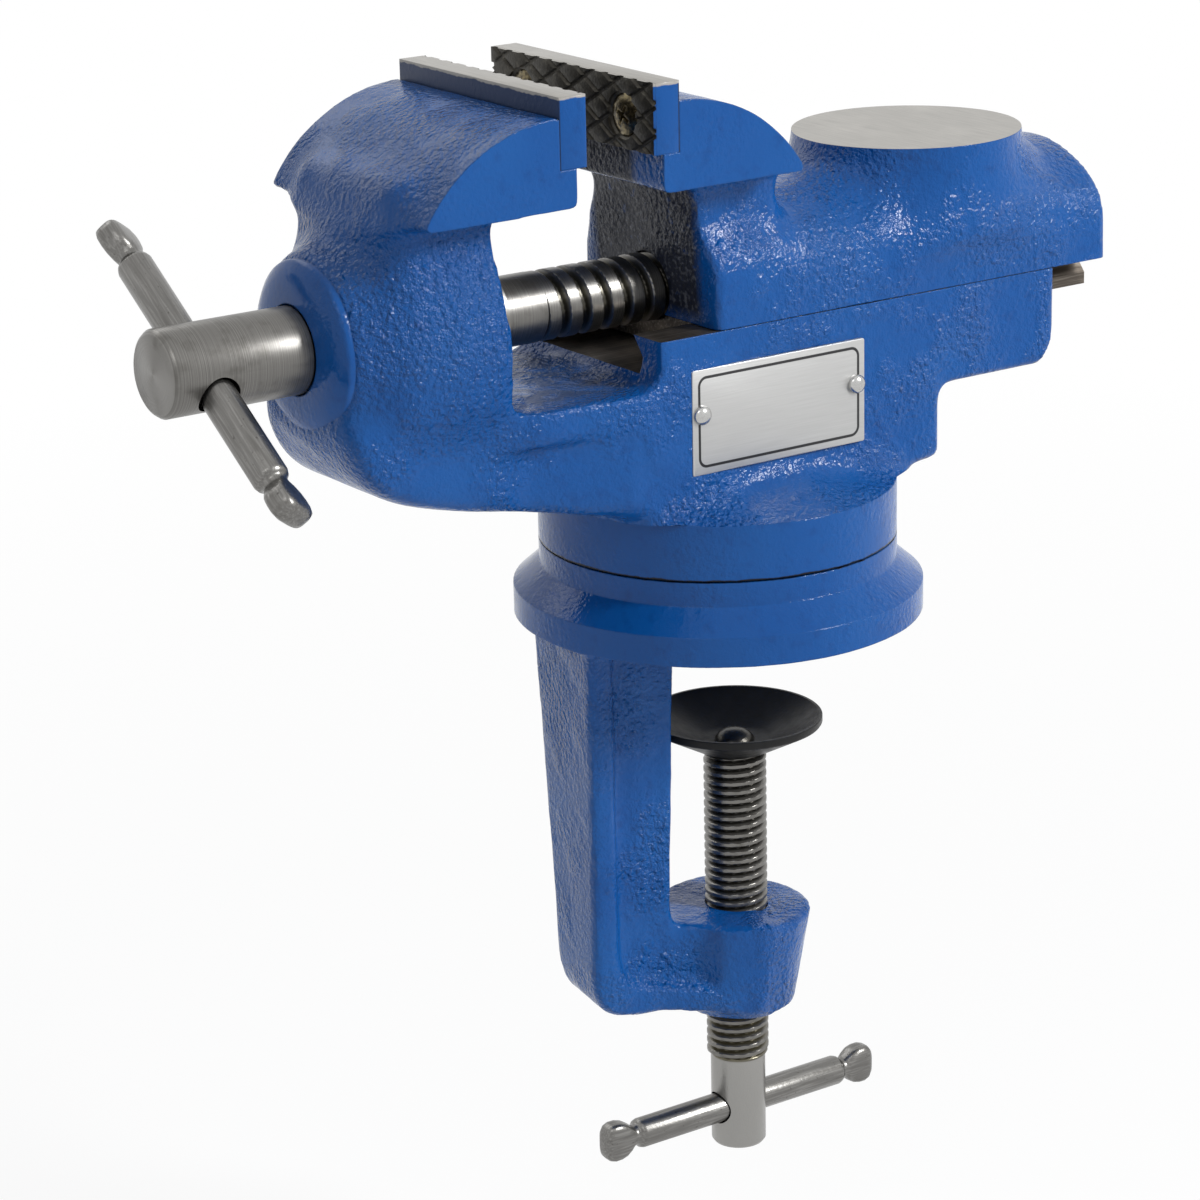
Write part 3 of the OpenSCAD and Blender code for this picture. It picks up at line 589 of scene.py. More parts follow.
rolled = Look("rolled thread", (0.055, 0.052, 0.046), 0.30, metallic=0.9)
clamp_axis_x = (clamp_low.x + clamp_high.x) / 2
clamp_axis_y = (clamp_low.y + clamp_high.y) / 2
thread_radius = from_line(rolled.x, rolled.y, (clamp_axis_x, clamp_axis_y))
rolled.tint(thread_radius.ramp(5.3, 5.7), (0.19, 0.184, 0.172))
rolled.stain((0.03, 0.027, 0.024), 2.5, 3.0, 0.5, 0.8, 0.4)
rolled.tint(rolled.z.ramp(-80, -84) * thread_radius.ramp(5.9, 5.4) * 0.7, (0.16, 0.145, 0.10))
rolled.tint(rolled.z.ramp(-92.0, -92.5), (0.31, 0.305, 0.292))
rolled.grain(0.4, 0.04)

blacked = Look("blacked steel", (0.015, 0.015, 0.015), 0.36, specular=0.14)
blacked.stain((0.021, 0.021, 0.0214), 3, 3.0, 0.5, 0.8, 0.5)
blacked.gloss(blacked.noise(2, 2.0).ramp(0.4, 0.7), 0.46)
blacked.grain(0.6, 0.03)
print("clamp screw axis at", round(clamp_axis_x, 2), round(clamp_axis_y, 2))

# %% [markdown]
# The nameplate on the real vise is printed. This one stays plain: brushed metal with a thin
# dark border line, drawn by a distance field of a rounded rectangle in the material.

# %% Nameplate metal
BORDER_IN = 1.5
BORDER_LINE = 0.22
BORDER_R = 1.6
BORDER_SOFT = 0.08

name_metal = Look("brushed nameplate", (0.50, 0.50, 0.495), 0.36, metallic=0.75)
badge_middle = (badge_low + badge_high) / 2
badge_half = (badge_high - badge_low) / 2
past_x = (abs(name_metal.x - badge_middle.x) - (badge_half.x - BORDER_IN - BORDER_R)).at_least(0)
past_z = (abs(name_metal.z - badge_middle.z) - (badge_half.z - BORDER_IN - BORDER_R)).at_least(0)
border = abs(from_line(past_x, past_z) - BORDER_R)
name_metal.stain((0.41, 0.41, 0.405), 0.3, 2.0, 0.3, 0.75, 0.5, ALONG_X)
name_metal.tint(border.ramp(BORDER_LINE + BORDER_SOFT, BORDER_LINE), (0.035, 0.035, 0.037))
name_metal.grain(0.25, 0.015, stretch=ALONG_X)
name_metal.grain(9, 0.05, detail=1.0)

bright = Look("rivet metal", (0.50, 0.50, 0.49), 0.20, metallic=0.95)
bright.stain((0.33, 0.33, 0.32), 0.7, 2.0, 0.5, 0.8, 0.4)
bright.grain(0.6, 0.02, detail=1.0)
print("nameplate", [round(v * 2, 1) for v in badge_half])

# %% [markdown]
# Castings have no single formula in a modelling tool: they are blocks, cylinders and ribs
# melted together with fillets. A distance field describes that directly. For any point in
# space it says how far away the surface is, and a smooth minimum of two fields is the two
# shapes joined with a fillet. Geometry Nodes evaluates such a field on a grid with Volume
# Cube and turns it into a skin with Volume to Mesh.
#
# A Casting is one Geometry Nodes tree whose output is the skin of a field. The grid is fine
# enough for a fillet of a millimetre, and the tree ends in Realize Instances and Set
# Material. Two noises, a coarse and a fine one, move the skin in and out a little, as on
# any sand casting.

# %% A casting made from a field
VOXEL = 0.8
GRID_MARGIN = 2.4
SAND_DEPTH = 0.13
SAND_SIZE = 9.0
FINE_SAND_DEPTH = 0.05


def new_tree(name, sizes=(), counts=()):
    """An empty tree with named inputs for its sizes and counts, and its input node."""
    tree = bpy.data.node_groups.new(name, "GeometryNodeTree")
    tree.interface.new_socket("Geometry", in_out="OUTPUT", socket_type="NodeSocketGeometry")
    for kind, names in (("NodeSocketFloat", sizes), ("NodeSocketInt", counts)):
        for size in names:
            tree.interface.new_socket(size, in_out="INPUT", socket_type=kind)
    return tree, add_node(tree, "NodeGroupInput")


class Casting:
    """A Geometry Nodes tree that turns a distance field, in millimetres, into a skin."""

    def __init__(self, name, low, high):
        self.name = name
        self.sizes = {}
        margin = Vector((GRID_MARGIN,) * 3)
        self.low = Vector(low) - margin
        self.high = Vector(high) + margin
        self.tree, self.inputs = new_tree(name)
        place = add_node(self.tree, "GeometryNodeInputPosition").outputs[0]
        self.x, self.y, self.z = (part * (1 / MM) for part in parts_of(self.tree, place))

    def size(self, name, value):
        """A named input of the tree, in millimetres."""
        self.tree.interface.new_socket(name, in_out="INPUT", socket_type="NodeSocketFloat")
        self.sizes[name] = value
        return Number(self.tree, self.inputs.outputs[name])

    def box(self, low, high, rounding):
        """A block between two corners with rounded edges."""
        sides = []
        for line, start, end in zip((self.x, self.y, self.z), low, high):
            sides.append(abs(line - (start + end) / 2) - ((end - start) / 2 - rounding))
        outer = [side.at_least(0) for side in sides]
        length = (outer[0] * outer[0] + outer[1] * outer[1] + outer[2] * outer[2]).root()
        inner = sides[0].at_least(sides[1]).at_least(sides[2]).at_most(0)
        return length + inner - rounding

    def slope(self, start, end):
        """The half space to the left of a line in X and Z, seen from the near side."""
        run, rise = end[0] - start[0], end[1] - start[1]
        length = math.hypot(run, rise)
        return (self.x - start[0]) * (rise / length) - (self.z - start[1]) * (run / length)

    def wedge(self, corners, rounding):
        """A block across the vise whose outline in X and Z has these corners, anticlockwise."""
        sides = [self.slope(a, b) for a, b in zip(corners, corners[1:] + corners[:1])]
        field = sides[0]
        for side in sides[1:]:
            field = field.within(side, rounding)
        return field

    def sanded(self, field, seed, fine_size=3.2):
        """Sand-cast unevenness: two noises move the skin in and out."""
        for depth, size, pattern in ((SAND_DEPTH, SAND_SIZE, seed), (FINE_SAND_DEPTH, fine_size, seed + 4)):
            inputs = {"W": pattern, "Scale": 1 / (size * MM), "Detail": 1.0}
            field = field + (cloud(self.tree, inputs, noise_dimensions="4D") - 0.5) * (2 * depth)
        return field

    def skin(self, field, look):
        """Meshes the field and returns a plain mesh object in metres."""
        inputs = {"Density": field * -1, "Background": -GRID_MARGIN,
                  "Min": self.low * MM, "Max": self.high * MM}
        for axis, span in zip("XYZ", self.high - self.low):
            inputs["Resolution " + axis] = math.ceil(span / VOXEL) + 1
        cube = add_node(self.tree, "GeometryNodeVolumeCube", inputs)
        mesh = add_node(self.tree, "GeometryNodeVolumeToMesh", {"Threshold": 0.0}, resolution_mode="GRID")
        finish_tree(self.tree, (cube, mesh), look)
        return from_tree(self.name, self.tree, self.sizes)


def finish_tree(tree, chain, look):
    """Links nodes in a row and ends the tree in Realize Instances and Set Material."""
    chain = (*chain, add_node(tree, "GeometryNodeRealizeInstances"),
             add_node(tree, "GeometryNodeSetMaterial", {"Material": look.material}),
             add_node(tree, "NodeGroupOutput"))
    for before, after in zip(chain, chain[1:]):
        tree.links.new(before.outputs[0], after.inputs[0])


def from_tree(name, tree, sizes):
    """Runs a Geometry Nodes tree with its sizes set and keeps the result as a plain mesh."""
    host = link_new(name + " host", bpy.data.meshes.new(name + " start"))
    modifier = host.modifiers.new("tree", "NODES")
    modifier.node_group = tree
    for item in tree.interface.items_tree:
        if item.in_out == "INPUT":
            modifier[item.identifier] = sizes[item.name]
    bpy.context.view_layer.update()
    evaluated = host.evaluated_get(bpy.context.evaluated_depsgraph_get())
    mesh = bpy.data.meshes.new_from_object(evaluated)
    bpy.data.objects.remove(host)
    mesh.name = name
    piece = link_new(name, mesh)
    report(piece)
    return piece


print("a field's grid step is", VOXEL, "mm")

# %% [markdown]
# Machining comes after casting, on the real vise and here. Each cut is a Boolean with the
# Manifold solver, and the tool hands its own material to the faces it leaves, so a planed
# face is bare metal with a crisp painted edge round it. Tools are turned shapes, prisms and
# blocks, and one function skins them all from rings of points.

# %% Turned shapes, prisms and cuts
ROUND = 96
SMALL_ROUND = 48
SOFT_ANGLE = 32.0
AXES = {"x": (Vector((1, 0, 0)), Vector((0, 1, 0))), "y": (Vector((0, 1, 0)), Vector((0, 0, 1))),
        "z": (Vector((0, 0, 1)), Vector((1, 0, 0)))}


def rings_to_mesh(name, rings, look, loop=False):
    """Skins rows of points, each row a ring; a row of one point is a pole."""
    mesh = bpy.data.meshes.new(name)
    made = bmesh.new()
    rows = [[made.verts.new(point * MM) for point in ring] for ring in rings]
    pairs = list(zip(rows, rows[1:])) + ([(rows[-1], rows[0])] if loop else [])
    for low, high in pairs:
        count = max(len(low), len(high))
        for i in range(count):
            j = (i + 1) % count
            corners = [low[i % len(low)], low[j % len(low)], high[j % len(high)], high[i % len(high)]]
            made.faces.new(list(dict.fromkeys(corners)))
    if not loop and len(rows[0]) > 1:
        made.faces.new(rows[0][::-1])
    if not loop and len(rows[-1]) > 1:
        made.faces.new(rows[-1])
    bmesh.ops.recalc_face_normals(made, faces=made.faces)
    made.to_mesh(mesh)
    made.free()
    mesh.materials.append(look.material)
    return link_new(name, mesh)


def turned(name, profile, origin, axis, look, sides=ROUND, loop=False):
    """A round piece about an axis; profile is (along, radius) pairs, closed on itself by loop."""
    along, across = axis if isinstance(axis, tuple) else AXES[axis]
    other = along.cross(across)
    rings = []
    for step, radius in profile:
        middle = Vector(origin) + along * step
        if radius < 1e-6:
            rings.append([middle])
            continue
        rings.append([middle + (across * math.cos(a) + other * math.sin(a)) * radius
                      for a in (2 * math.pi * i / sides for i in range(sides))])
    return rings_to_mesh(name, rings, look, loop)


def prism(name, outline, start, end, axis, look):
    """A straight block along X or Y; outline is its corners across that axis."""
    place = {"x": lambda a, b, s: Vector((s, a, b)), "y": lambda a, b, s: Vector((a, s, b))}[axis]
    return rings_to_mesh(name, [[place(a, b, s) for a, b in outline] for s in (start, end)], look)


def block(name, low, high, look):
    """A rectangular block between two corners."""
    outline = [(low[1], low[2]), (high[1], low[2]), (high[1], high[2]), (low[1], high[2])]
    return prism(name, outline, low[0], high[0], "x", look)


def settle(piece):
    """Applies a piece's modifiers."""
    bpy.context.view_layer.update()
    evaluated = piece.evaluated_get(bpy.context.evaluated_depsgraph_get())
    mesh = bpy.data.meshes.new_from_object(evaluated)
    piece.modifiers.clear()
    piece.data = mesh
    mesh.name = piece.name


def machine(piece, tool, operation="DIFFERENCE"):
    """Cuts a piece with a tool, or joins the tool to it, and removes the tool."""
    modifier = piece.modifiers.new("cut", "BOOLEAN")
    modifier.operation = operation
    modifier.object = tool
    modifier.solver = "MANIFOLD"
    modifier.material_mode = "TRANSFER"
    settle(piece)
    bpy.data.objects.remove(tool)


def report(piece):
    """Prints how fine a piece is and whether its skin is closed."""
    made = bmesh.new()
    made.from_mesh(piece.data)
    open_edges = sum(1 for edge in made.edges if len(edge.link_faces) != 2)
    triangles = sum(len(face.verts) - 2 for face in made.faces)
    made.free()
    print(piece.name, triangles, "triangles,", open_edges, "open edges")


def crisp(piece, bevel=0.0, angle=SOFT_ANGLE):
    """Bevels sharp edges by a width in millimetres, shades the rest smooth, and reports."""
    if bevel:
        rounding = piece.modifiers.new("edges", "BEVEL")
        rounding.width = bevel * MM
        rounding.segments = 2
        rounding.limit_method = "ANGLE"
        rounding.angle_limit = math.radians(angle)
        rounding.use_clamp_overlap = True
        settle(piece)
    piece.data.shade_smooth()
    piece.data.set_sharp_from_angle(angle=math.radians(angle))
    report(piece)


print("tools are turned with", ROUND, "sides")

# %% [markdown]
# The fixed body is the largest casting. Its round jaw head sits on a neck, the neck grows
# out of a barrel round the lead screw, and a keel under the barrel runs back to the bed and
# the round foot. The throat is taken away before the machining starts.

# %% Cast the body
HEAD_R = 31.6
HEAD_Z = 69.9
BODY_HEAD_UNDER = 85.5
SLIDE_HEAD_UNDER = 85.7
UNDER_PLATE = 3.4


def jaw_head(casting, seat_x, facing, under_z):
    """The round head of a jaw; facing is +1 where the jaw faces along +X."""
    width = casting.size("Jaw half width", jaw_half)
    head = from_line(casting.x, casting.z, (seat_x, HEAD_Z)) - casting.size("Head radius", HEAD_R)
    head = head.within((casting.x - (seat_x + facing * UNDER_PLATE)) * facing, 6)
    return head.within(under_z - casting.z, 2.0).within(abs(casting.y) - (width + 1), 1.2)


body = Casting("body_casting", (-90.5, -36, 11), (66, 36, 103))
half_y = abs(body.y)
bed_width = body.size("Bed half width", body_half)
axis_z = body.size("Screw height", screw_z)
foot_radius = body.size("Foot radius", foot_r)
head = jaw_head(body, seat_front, 1, BODY_HEAD_UNDER)
neck = body.box((-78, -17, 50), (throat_x + 0.5, 17, 92), 4)
barrel_taper = (-68 - body.x).at_least(0) * 0.27
barrel = from_line(body.y, body.z, (0, axis_z)) - (bed_width - barrel_taper)
barrel = barrel.within(-86.3 - body.x, 2.4).within(body.x - (throat_x + 0.5), 1)
keel = body.wedge([(-88, 52), (-88, 46.5), (-83.2, 38.4), (-76, 34.6), (-12, 22.6), (-12, 56), (-75, 56)], 6)
keel = keel.within(half_y - (body.x.ramp(-52, -33) * 4.5 + 16), 7)
bed = body.box((-66, -body_half, 43), (0, body_half, 62), 2.5)
bed = bed.within(half_y - (body.x.ramp(-65, -50) * 6.5 + 14), 3)
bed = bed.joined(body.box((-8, -body_half, 40), (bed_end_x + 0.4, body_half, 62), 1.5), 1)
bed = bed.within(body.slope((61.5, 40), (64.7, 44.6)), 2)
centre = body.box((-30.7, -body_half, 26), (37, body_half, 62), 2)
centre = centre.within(body.slope((-31.2, 39.4), (-18.5, 27.6)), 3)
from_axis = from_line(body.x, body.y)
foot_top = body.z - 24.7 - (foot_radius - from_axis) * 0.36
foot = (from_axis - (foot_radius + 1.3)).within(foot_top * 0.94, 0.2).within(12.5 - body.z, 0.3)
print("body field has", len(body.tree.nodes), "nodes so far")

# %% Join the body's forms and make its skin
void = (throat_x - (body.x + (body.z - 50) * 0.08)).within(49.5 - body.z, 6)
void = void.within(body.x - bed_x, 9).within(body.z - BODY_HEAD_UNDER, 6)
form = head.joined(neck, 8).joined(barrel, 14).joined(keel, 7)
form = form.joined(bed.joined(centre, 5).within(half_y - bed_width, 1.2), 4)
form = form.joined(foot, 7).without(void, 1.2)
body_piece = body.skin(body.sanded(form, 3.0), body_enamel)

# %% Machine the body
CLEAR = 30
FAR = 50
ABOVE = 110
HUB_R = 12.08
HUB_DEPTH = 4.15
PIVOT_R = 4.08
WELL_R = 8.5
WELL_FLOOR = 42.9
NOSE = [(-80, 8), (-80, 15.3), (-86.9, 15.3), (-87.25, 15.15), (-87.5, 14.8), (-88.2, 13.9),
        (-88.8, 12.5), (-89.2, 10.4), (-89.4, 8)]


def face_cuts(piece, low_x, high_x, low_z):
    """Cuts both sides of a jaw head flat, at the width of its plate."""
    for side in (-1, 1):
        near, far = sorted((side * jaw_half, side * FAR))
        machine(piece, block("side cut", (low_x, near, low_z), (high_x, far, ABOVE), turned_enamel))


def dovetail(gap, floor_z, top_z):
    """The outline of the way, or of the tongue in it with a gap at its sides."""
    neck_half, root_half = way_half - gap, way_root_half - gap
    far = [(root_half, floor_z), (root_half, bed_top - way_flank), (neck_half, bed_top), (neck_half, top_z)]
    return [(-y, z) for y, z in reversed(far)] + far


nose = turned("nose", NOSE, (0, 0, screw_z), "x", turned_enamel, loop=True)
crisp(nose)
machine(body_piece, nose, "UNION")
face_cuts(body_piece, -90, -36, 70)
machine(body_piece, block("seat", (seat_front, -CLEAR, plate_bottom), (-40, CLEAR, ABOVE), bored))
machine(body_piece, block("seat line", (seat_front - 0.5, -CLEAR, jaw_top - 3.8), (-40, CLEAR, ABOVE), bored))
machine(body_piece, block("top", (bed_x - 2, -CLEAR, bed_top), (80, CLEAR, 75), planed))
machine(body_piece, prism("way", dovetail(0, way_floor, bed_top + 2), bed_x - 4, 80, "x", planed))
machine(body_piece, turned("bore", [(-95, bore_r), (throat_x + 2, bore_r)], (0, 0, screw_z), "x", bored))
machine(body_piece, block("underside", (-60, -60, 0), (60, 60, foot_z), planed))
machine(body_piece, turned("foot side", [(10, foot_r), (10, 60), (25.0, 60), (25.0, foot_r)],
                           (0, 0, 0), "z", turned_enamel, loop=True))
for name, profile in (("hub", [(0, HUB_R), (foot_z + HUB_DEPTH, HUB_R)]),
                      ("pivot", [(0, PIVOT_R), (60, PIVOT_R)]),
                      ("well", [(WELL_FLOOR, WELL_R), (60, WELL_R)])):
    machine(body_piece, turned(name, profile, (0, 0, 0), "z", bored))
crisp(body_piece)

# %% [markdown]
# The sliding jaw is cast the same way: a head that mirrors the fixed one, a neck, a slide
# with a rounded back, and the round anvil, which flares out into the slide. Its tongue is
# planed, so it's joined on as a prism of bare metal.

# %% Cast the sliding jaw
ARCH_R = 26.69
ARCH_Z = 52.6
ANVIL_R = 21.34
ANVIL_TOP = 84.4
ANVIL_X = 45.0

slide = Casting("slide_casting", (-31, -27, 56), (78, 27, 104))
half_y = abs(slide.y)
head = jaw_head(slide, seat_rear, -1, SLIDE_HEAD_UNDER)
neck = slide.box((-20, -16, 58), (3, 16, 92), 3).within(-13.9 - (slide.x + (slide.z - 72) * 0.2), 2)
arch = from_line(slide.y, slide.z, (0, ARCH_Z)) - slide.size("Arch radius", ARCH_R)
arch = arch.within(half_y - slide.size("Slide half width", body_half), 5)
arch = arch.within(slide_x - slide.x, 1.6).within(slide.x - slide_end_x, 1.6).within(57 - slide.z, 0.3)
anvil = from_line(slide.x, slide.y, (ANVIL_X, 0)) - slide.size("Anvil radius", ANVIL_R)
anvil = anvil.within(slide.z - (ANVIL_TOP + 1.5), 0.3).within(69 - slide.z, 3)
form = head.joined(neck, 9).joined(arch, 9).joined(anvil, 13)
slide_piece = slide.skin(slide.sanded(form, 13.0), slide_enamel)

# %% Machine the sliding jaw
RUNNING_GAP = 0.2
TUNNEL_R = 8

face_cuts(slide_piece, -30, 20, 84)
machine(slide_piece, block("seat", (-45, -CLEAR, plate_bottom), (seat_rear, CLEAR, ABOVE), bored))
machine(slide_piece, block("underside", (-45, -CLEAR, 40), (90, CLEAR, bed_top + 0.15), planed))
machine(slide_piece, block("anvil face", (10, -40, ANVIL_TOP), (80, 40, 95), ground))
tongue = dovetail(RUNNING_GAP, way_floor + 0.6, bed_top + 1)
machine(slide_piece, prism("tongue", tongue, slide_x + 0.3, slide_end_x - 0.3, "x", planed), "UNION")
machine(slide_piece, turned("bore", [(-40, bore_r), (30, bore_r)], (0, 0, screw_z), "x", bored))
machine(slide_piece, turned("tunnel", [(14, TUNNEL_R), (90, TUNNEL_R)], (0, 0, screw_z), "x", bored))
crisp(slide_piece)

# %% [markdown]
# The clamp bracket is cast with its round flange turned afterwards. It's modelled facing
# along X and then turned under the vise, as the photographer set it.

# %% Cast and turn the clamp bracket
BRACKET_TURN = math.radians(-10)
ARM_BACK = -31.1
ARM_FRONT = -13.9
LIMB_TOP = -61.3
LIMB_BOTTOM = -76.7
BOSS_X = Vector((clamp_axis_x, clamp_axis_y, 0)).length
CLAMP_BORE_R = 6.08
FLANGE_SIDE = [(25, 12), (14.2, 12), (14.2, foot_r), (9.7, foot_r),
               (5.44, 38.25), (-2, 38.25), (-2, 60), (25, 60)]

bracket = Casting("bracket_casting", (-41, -41, -82), (41, 41, 20))
half_y = abs(bracket.y)
from_axis = from_line(bracket.x, bracket.y)
flange = (from_axis - (bracket.size("Flange radius", flange_r) + 1.2)).within(-bracket.z, 1.0)
flange = flange.within(bracket.z - 16, 0.3)
hub = (from_axis - 12).within(bracket.z - 18.2, 0.5)
half_width = (bracket.z - LIMB_BOTTOM) * 0.057 + bracket.size("Arm half width at its foot", 8.4)
toward_boss = bracket.x.ramp(ARM_FRONT - 3, BOSS_X - 2)
spread = toward_boss * 4.6 + half_width
back_line = bracket.x - (bracket.z + 60).ramp(0, 57) * -1.6 - ARM_BACK
underneath = LIMB_BOTTOM - bracket.z - toward_boss * 2.5
back = (-back_line).within(underneath, 14)
arm = back.within(bracket.x - ARM_FRONT, 1.6).within(bracket.z - 6, 0.3)
limb = back.within(bracket.z - LIMB_TOP, 1.6).within(bracket.x - BOSS_X, 1)
arm = arm.joined(limb, 7).within(back, 0.4).within(half_y - spread, 2.2)
hollow = bracket.x.ramp(BOSS_X - 5, ARM_FRONT + 10) * 3.1 - 0.2
web = (5.2 - back_line).within(underneath + 5.2, 14).within(bracket.x - (BOSS_X - 9), 3)
web = web.within(bracket.z + 1.5, 2).within(spread - hollow - half_y, 3.6)
boss = from_line(bracket.x, bracket.y, (BOSS_X, 0)) - ((bracket.z - LIMB_TOP) * 0.1726 + 14.3)
boss = boss.within(bracket.z - LIMB_TOP, 1.4).within(-80.7 - bracket.z, 1.4)
form = arm.without(web, 2.8).joined(boss, 5).joined(flange, 6).joined(hub.at_least(-bracket.z), 0.3)
bracket_piece = bracket.skin(bracket.sanded(form, 23.0, 3.0), bracket_enamel)
machine(bracket_piece, turned("flange side", FLANGE_SIDE, (0, 0, 0), "z", turned_enamel, loop=True))
machine(bracket_piece, turned("clamp bore", [(-90, CLAMP_BORE_R), (-50, CLAMP_BORE_R)],
                              (BOSS_X, 0, 0), "z", bored))
bracket_piece.data.transform(Matrix.Rotation(BRACKET_TURN, 4, "Z"))
crisp(bracket_piece)

# %% [markdown]
# Each jaw plate is a block of hardened steel. Two families of shallow grooves cross its
# gripping face and leave flat diamonds standing. The diamonds repeat, so a Geometry Nodes
# tree sets one four-sided frustum on two grids of points, half a step apart. They are rooted
# a little in the plate and trimmed to its outline. The plate's ends and its back have the
# casting's paint, and its top is ground bright.

# %% A field of diamonds
TOOTH_DEPTH = 0.6
TOOTH_GAP = 0.03
TOOTH_ROOTED = 0.1
DIAMOND_BASE = 0.45
DIAMOND_TOP = 0.38
DIAMOND_COLUMNS = 9
DIAMOND_ROWS = 5
DIAMOND_SIZES = {"Across": 8.6, "Up": 4.9, "Depth": TOOTH_DEPTH + TOOTH_ROOTED - TOOTH_GAP}


def diamond_tree():
    """Two grids of flat-topped diamonds on the plane Z = 0, pointing along Z."""
    tree, sizes = new_tree("diamonds", DIAMOND_SIZES)
    across, up, depth = (Number(tree, sizes.outputs[name]) * MM for name in DIAMOND_SIZES)
    diamond = add_node(tree, "GeometryNodeMeshCone", {
        "Vertices": 4, "Radius Bottom": DIAMOND_BASE, "Radius Top": DIAMOND_TOP, "Depth": 1.0})
    stretch = combined(tree, across, up, depth)
    both = add_node(tree, "GeometryNodeJoinGeometry")
    for shift in (0.0, 0.5):
        grid = add_node(tree, "GeometryNodeMeshGrid", {
            "Size X": across * (DIAMOND_COLUMNS - 1), "Size Y": up * (DIAMOND_ROWS - 1),
            "Vertices X": DIAMOND_COLUMNS, "Vertices Y": DIAMOND_ROWS})
        offset = combined(tree, across * shift, up * shift)
        move = add_node(tree, "GeometryNodeTransform", {0: grid.outputs[0], "Translation": offset})
        plant = add_node(tree, "GeometryNodeInstanceOnPoints", {
            "Points": move.outputs[0], "Instance": diamond.outputs[0], "Scale": stretch})
        tree.links.new(plant.outputs[0], both.inputs[0])
    finish_tree(tree, [both], gripping)
    return tree


diamonds = diamond_tree()
print("diamonds", DIAMOND_SIZES, "mm")

# %% The two jaw plates
PLATE_SCREW_Y = 15.5
PLATE_SCREW_UP = 5.7
PLATE_EDGE = 0.15
SINK_UNDER = 3.4
SINK = [(-0.3, 2.1), (1.4, 2.1), (2.9, 4.25), (8, 4.25)]
TRIM = 0.02


def jaw_plate(name, low, high, facing, plain_end=0.0):
    """A plate with raised diamonds; facing is +1 where they point along +X."""
    face_x, back_x = (high.x, low.x) if facing > 0 else (low.x, high.x)
    root_x = face_x - facing * TOOTH_DEPTH
    plate = block(name, (min(root_x, back_x), low.y, low.z), (max(root_x, back_x), high.y, high.z), gripping)
    field = from_tree("diamonds", diamonds, DIAMOND_SIZES)
    turn = Matrix.Rotation(math.pi / 2, 4, "Z") @ Matrix.Rotation(math.pi / 2, 4, "X")
    if facing < 0:
        turn = Matrix.Rotation(math.pi, 4, "Z") @ turn
    middle = Vector((root_x - facing * TOOTH_ROOTED, 0, (low.z + high.z) / 2)) * MM
    field.data.transform(Matrix.Translation(middle) @ turn)
    machine(field, block("trim", (low.x - 3, low.y + TRIM, low.z + TRIM),
                         (high.x + 3, high.y - TRIM, high.z - TRIM), gripping), "INTERSECT")
    machine(plate, field, "UNION")
    if plain_end:
        strip = block("end strip", (min(face_x, back_x) + TOOTH_GAP, low.y, low.z),
                      (max(face_x, back_x) - TOOTH_GAP, low.y + plain_end, high.z), gripping)
        machine(plate, strip, "UNION")
    for side in (-1, 1):
        origin = (face_x - facing * SINK_UNDER, side * PLATE_SCREW_Y, low.z + PLATE_SCREW_UP)
        axis = (Vector((facing, 0, 0)), Vector((0, 1, 0)))
        machine(plate, turned("sink", SINK, origin, axis, gripping, SMALL_ROUND))
    plate.data.materials.append(ground.material)
    plate.data.materials.append(plate_enamel.material)
    slots = [m.name for m in plate.data.materials]
    for face in plate.data.polygons:
        at_back = (face.center.x / MM - face_x) * facing < -(high.x - low.x) + 0.3
        if face.normal.z > 0.9 and face.center.z > (high.z - 0.3) * MM:
            face.material_index = slots.index(ground.material.name)
        elif abs(face.normal.y) > 0.9 and abs(face.center.y) > (high.y - 0.3) * MM or at_back:
            face.material_index = slots.index(plate_enamel.material.name)
    crisp(plate, PLATE_EDGE)
    return plate


front_plate = jaw_plate("front_plate_piece", front_plate_low, front_plate_high, 1, plain_end=1.4)
rear_plate = jaw_plate("rear_plate_piece", rear_plate_low, rear_plate_high, -1)

# %% [markdown]
# Four cross-head screws hold the plates. The head is a shallow dome over a countersink, and
# the cross is cut with two wedges. One profile makes all four, each turned a little
# differently, as a hand would leave them.

# %% Plate screws
SCREW_PROFILE = [(-10.0, 0.0), (-10.0, 1.5), (-9.6, 1.9), (-2.45, 2.0), (-0.7, 3.9),
                 (-0.45, 3.95), (-0.15, 3.4), (0.12, 2.4), (0.27, 1.2), (0.30, 0.0)]
CROSS = ((1.0, 2.5, 0.42), (-0.9, 1.2, 0.22))
HEAD_SUNK = 0.45


def plate_screw(name, node, facing, turn):
    """A countersunk cross-head screw whose head faces along facing times X."""
    low, high = box_mm(node)
    middle = (low + high) / 2
    middle.x = (front_plate_high.x if facing > 0 else rear_plate_low.x) - facing * HEAD_SUNK
    axis = (Vector((facing, 0, 0)), Vector((0, math.cos(turn), math.sin(turn))))
    screw = turned(name, SCREW_PROFILE, middle, axis, brassy, SMALL_ROUND)
    other = axis[0].cross(axis[1])
    for across, along in ((axis[1], other), (other, -axis[1])):
        rings = [[middle + axis[0] * height + across * a * long + along * b * wide for a, b in CORNERS]
                 for height, long, wide in CROSS]
        machine(screw, rings_to_mesh("cross", rings, brassy))
    crisp(screw, 0.06)
    return screw


plate_screws = {}
for node, facing, turn in (("front_plate_screw_near", 1, 0.3), ("front_plate_screw_far", 1, 0.9),
                           ("rear_plate_screw_near", -1, 0.5), ("rear_plate_screw_far", -1, 1.1)):
    plate_screws[node] = plate_screw(node.replace("_plate", ""), node, facing, turn)
print("plate screws", len(plate_screws))

# %% [markdown]
# A thread is a rule: the radius at a point depends only on how far along the screw it is
# and on the angle round it. A Geometry Nodes tree bends a grid into a rod by that rule. The
# rows at both ends close to a point, and merging by distance closes the seam.

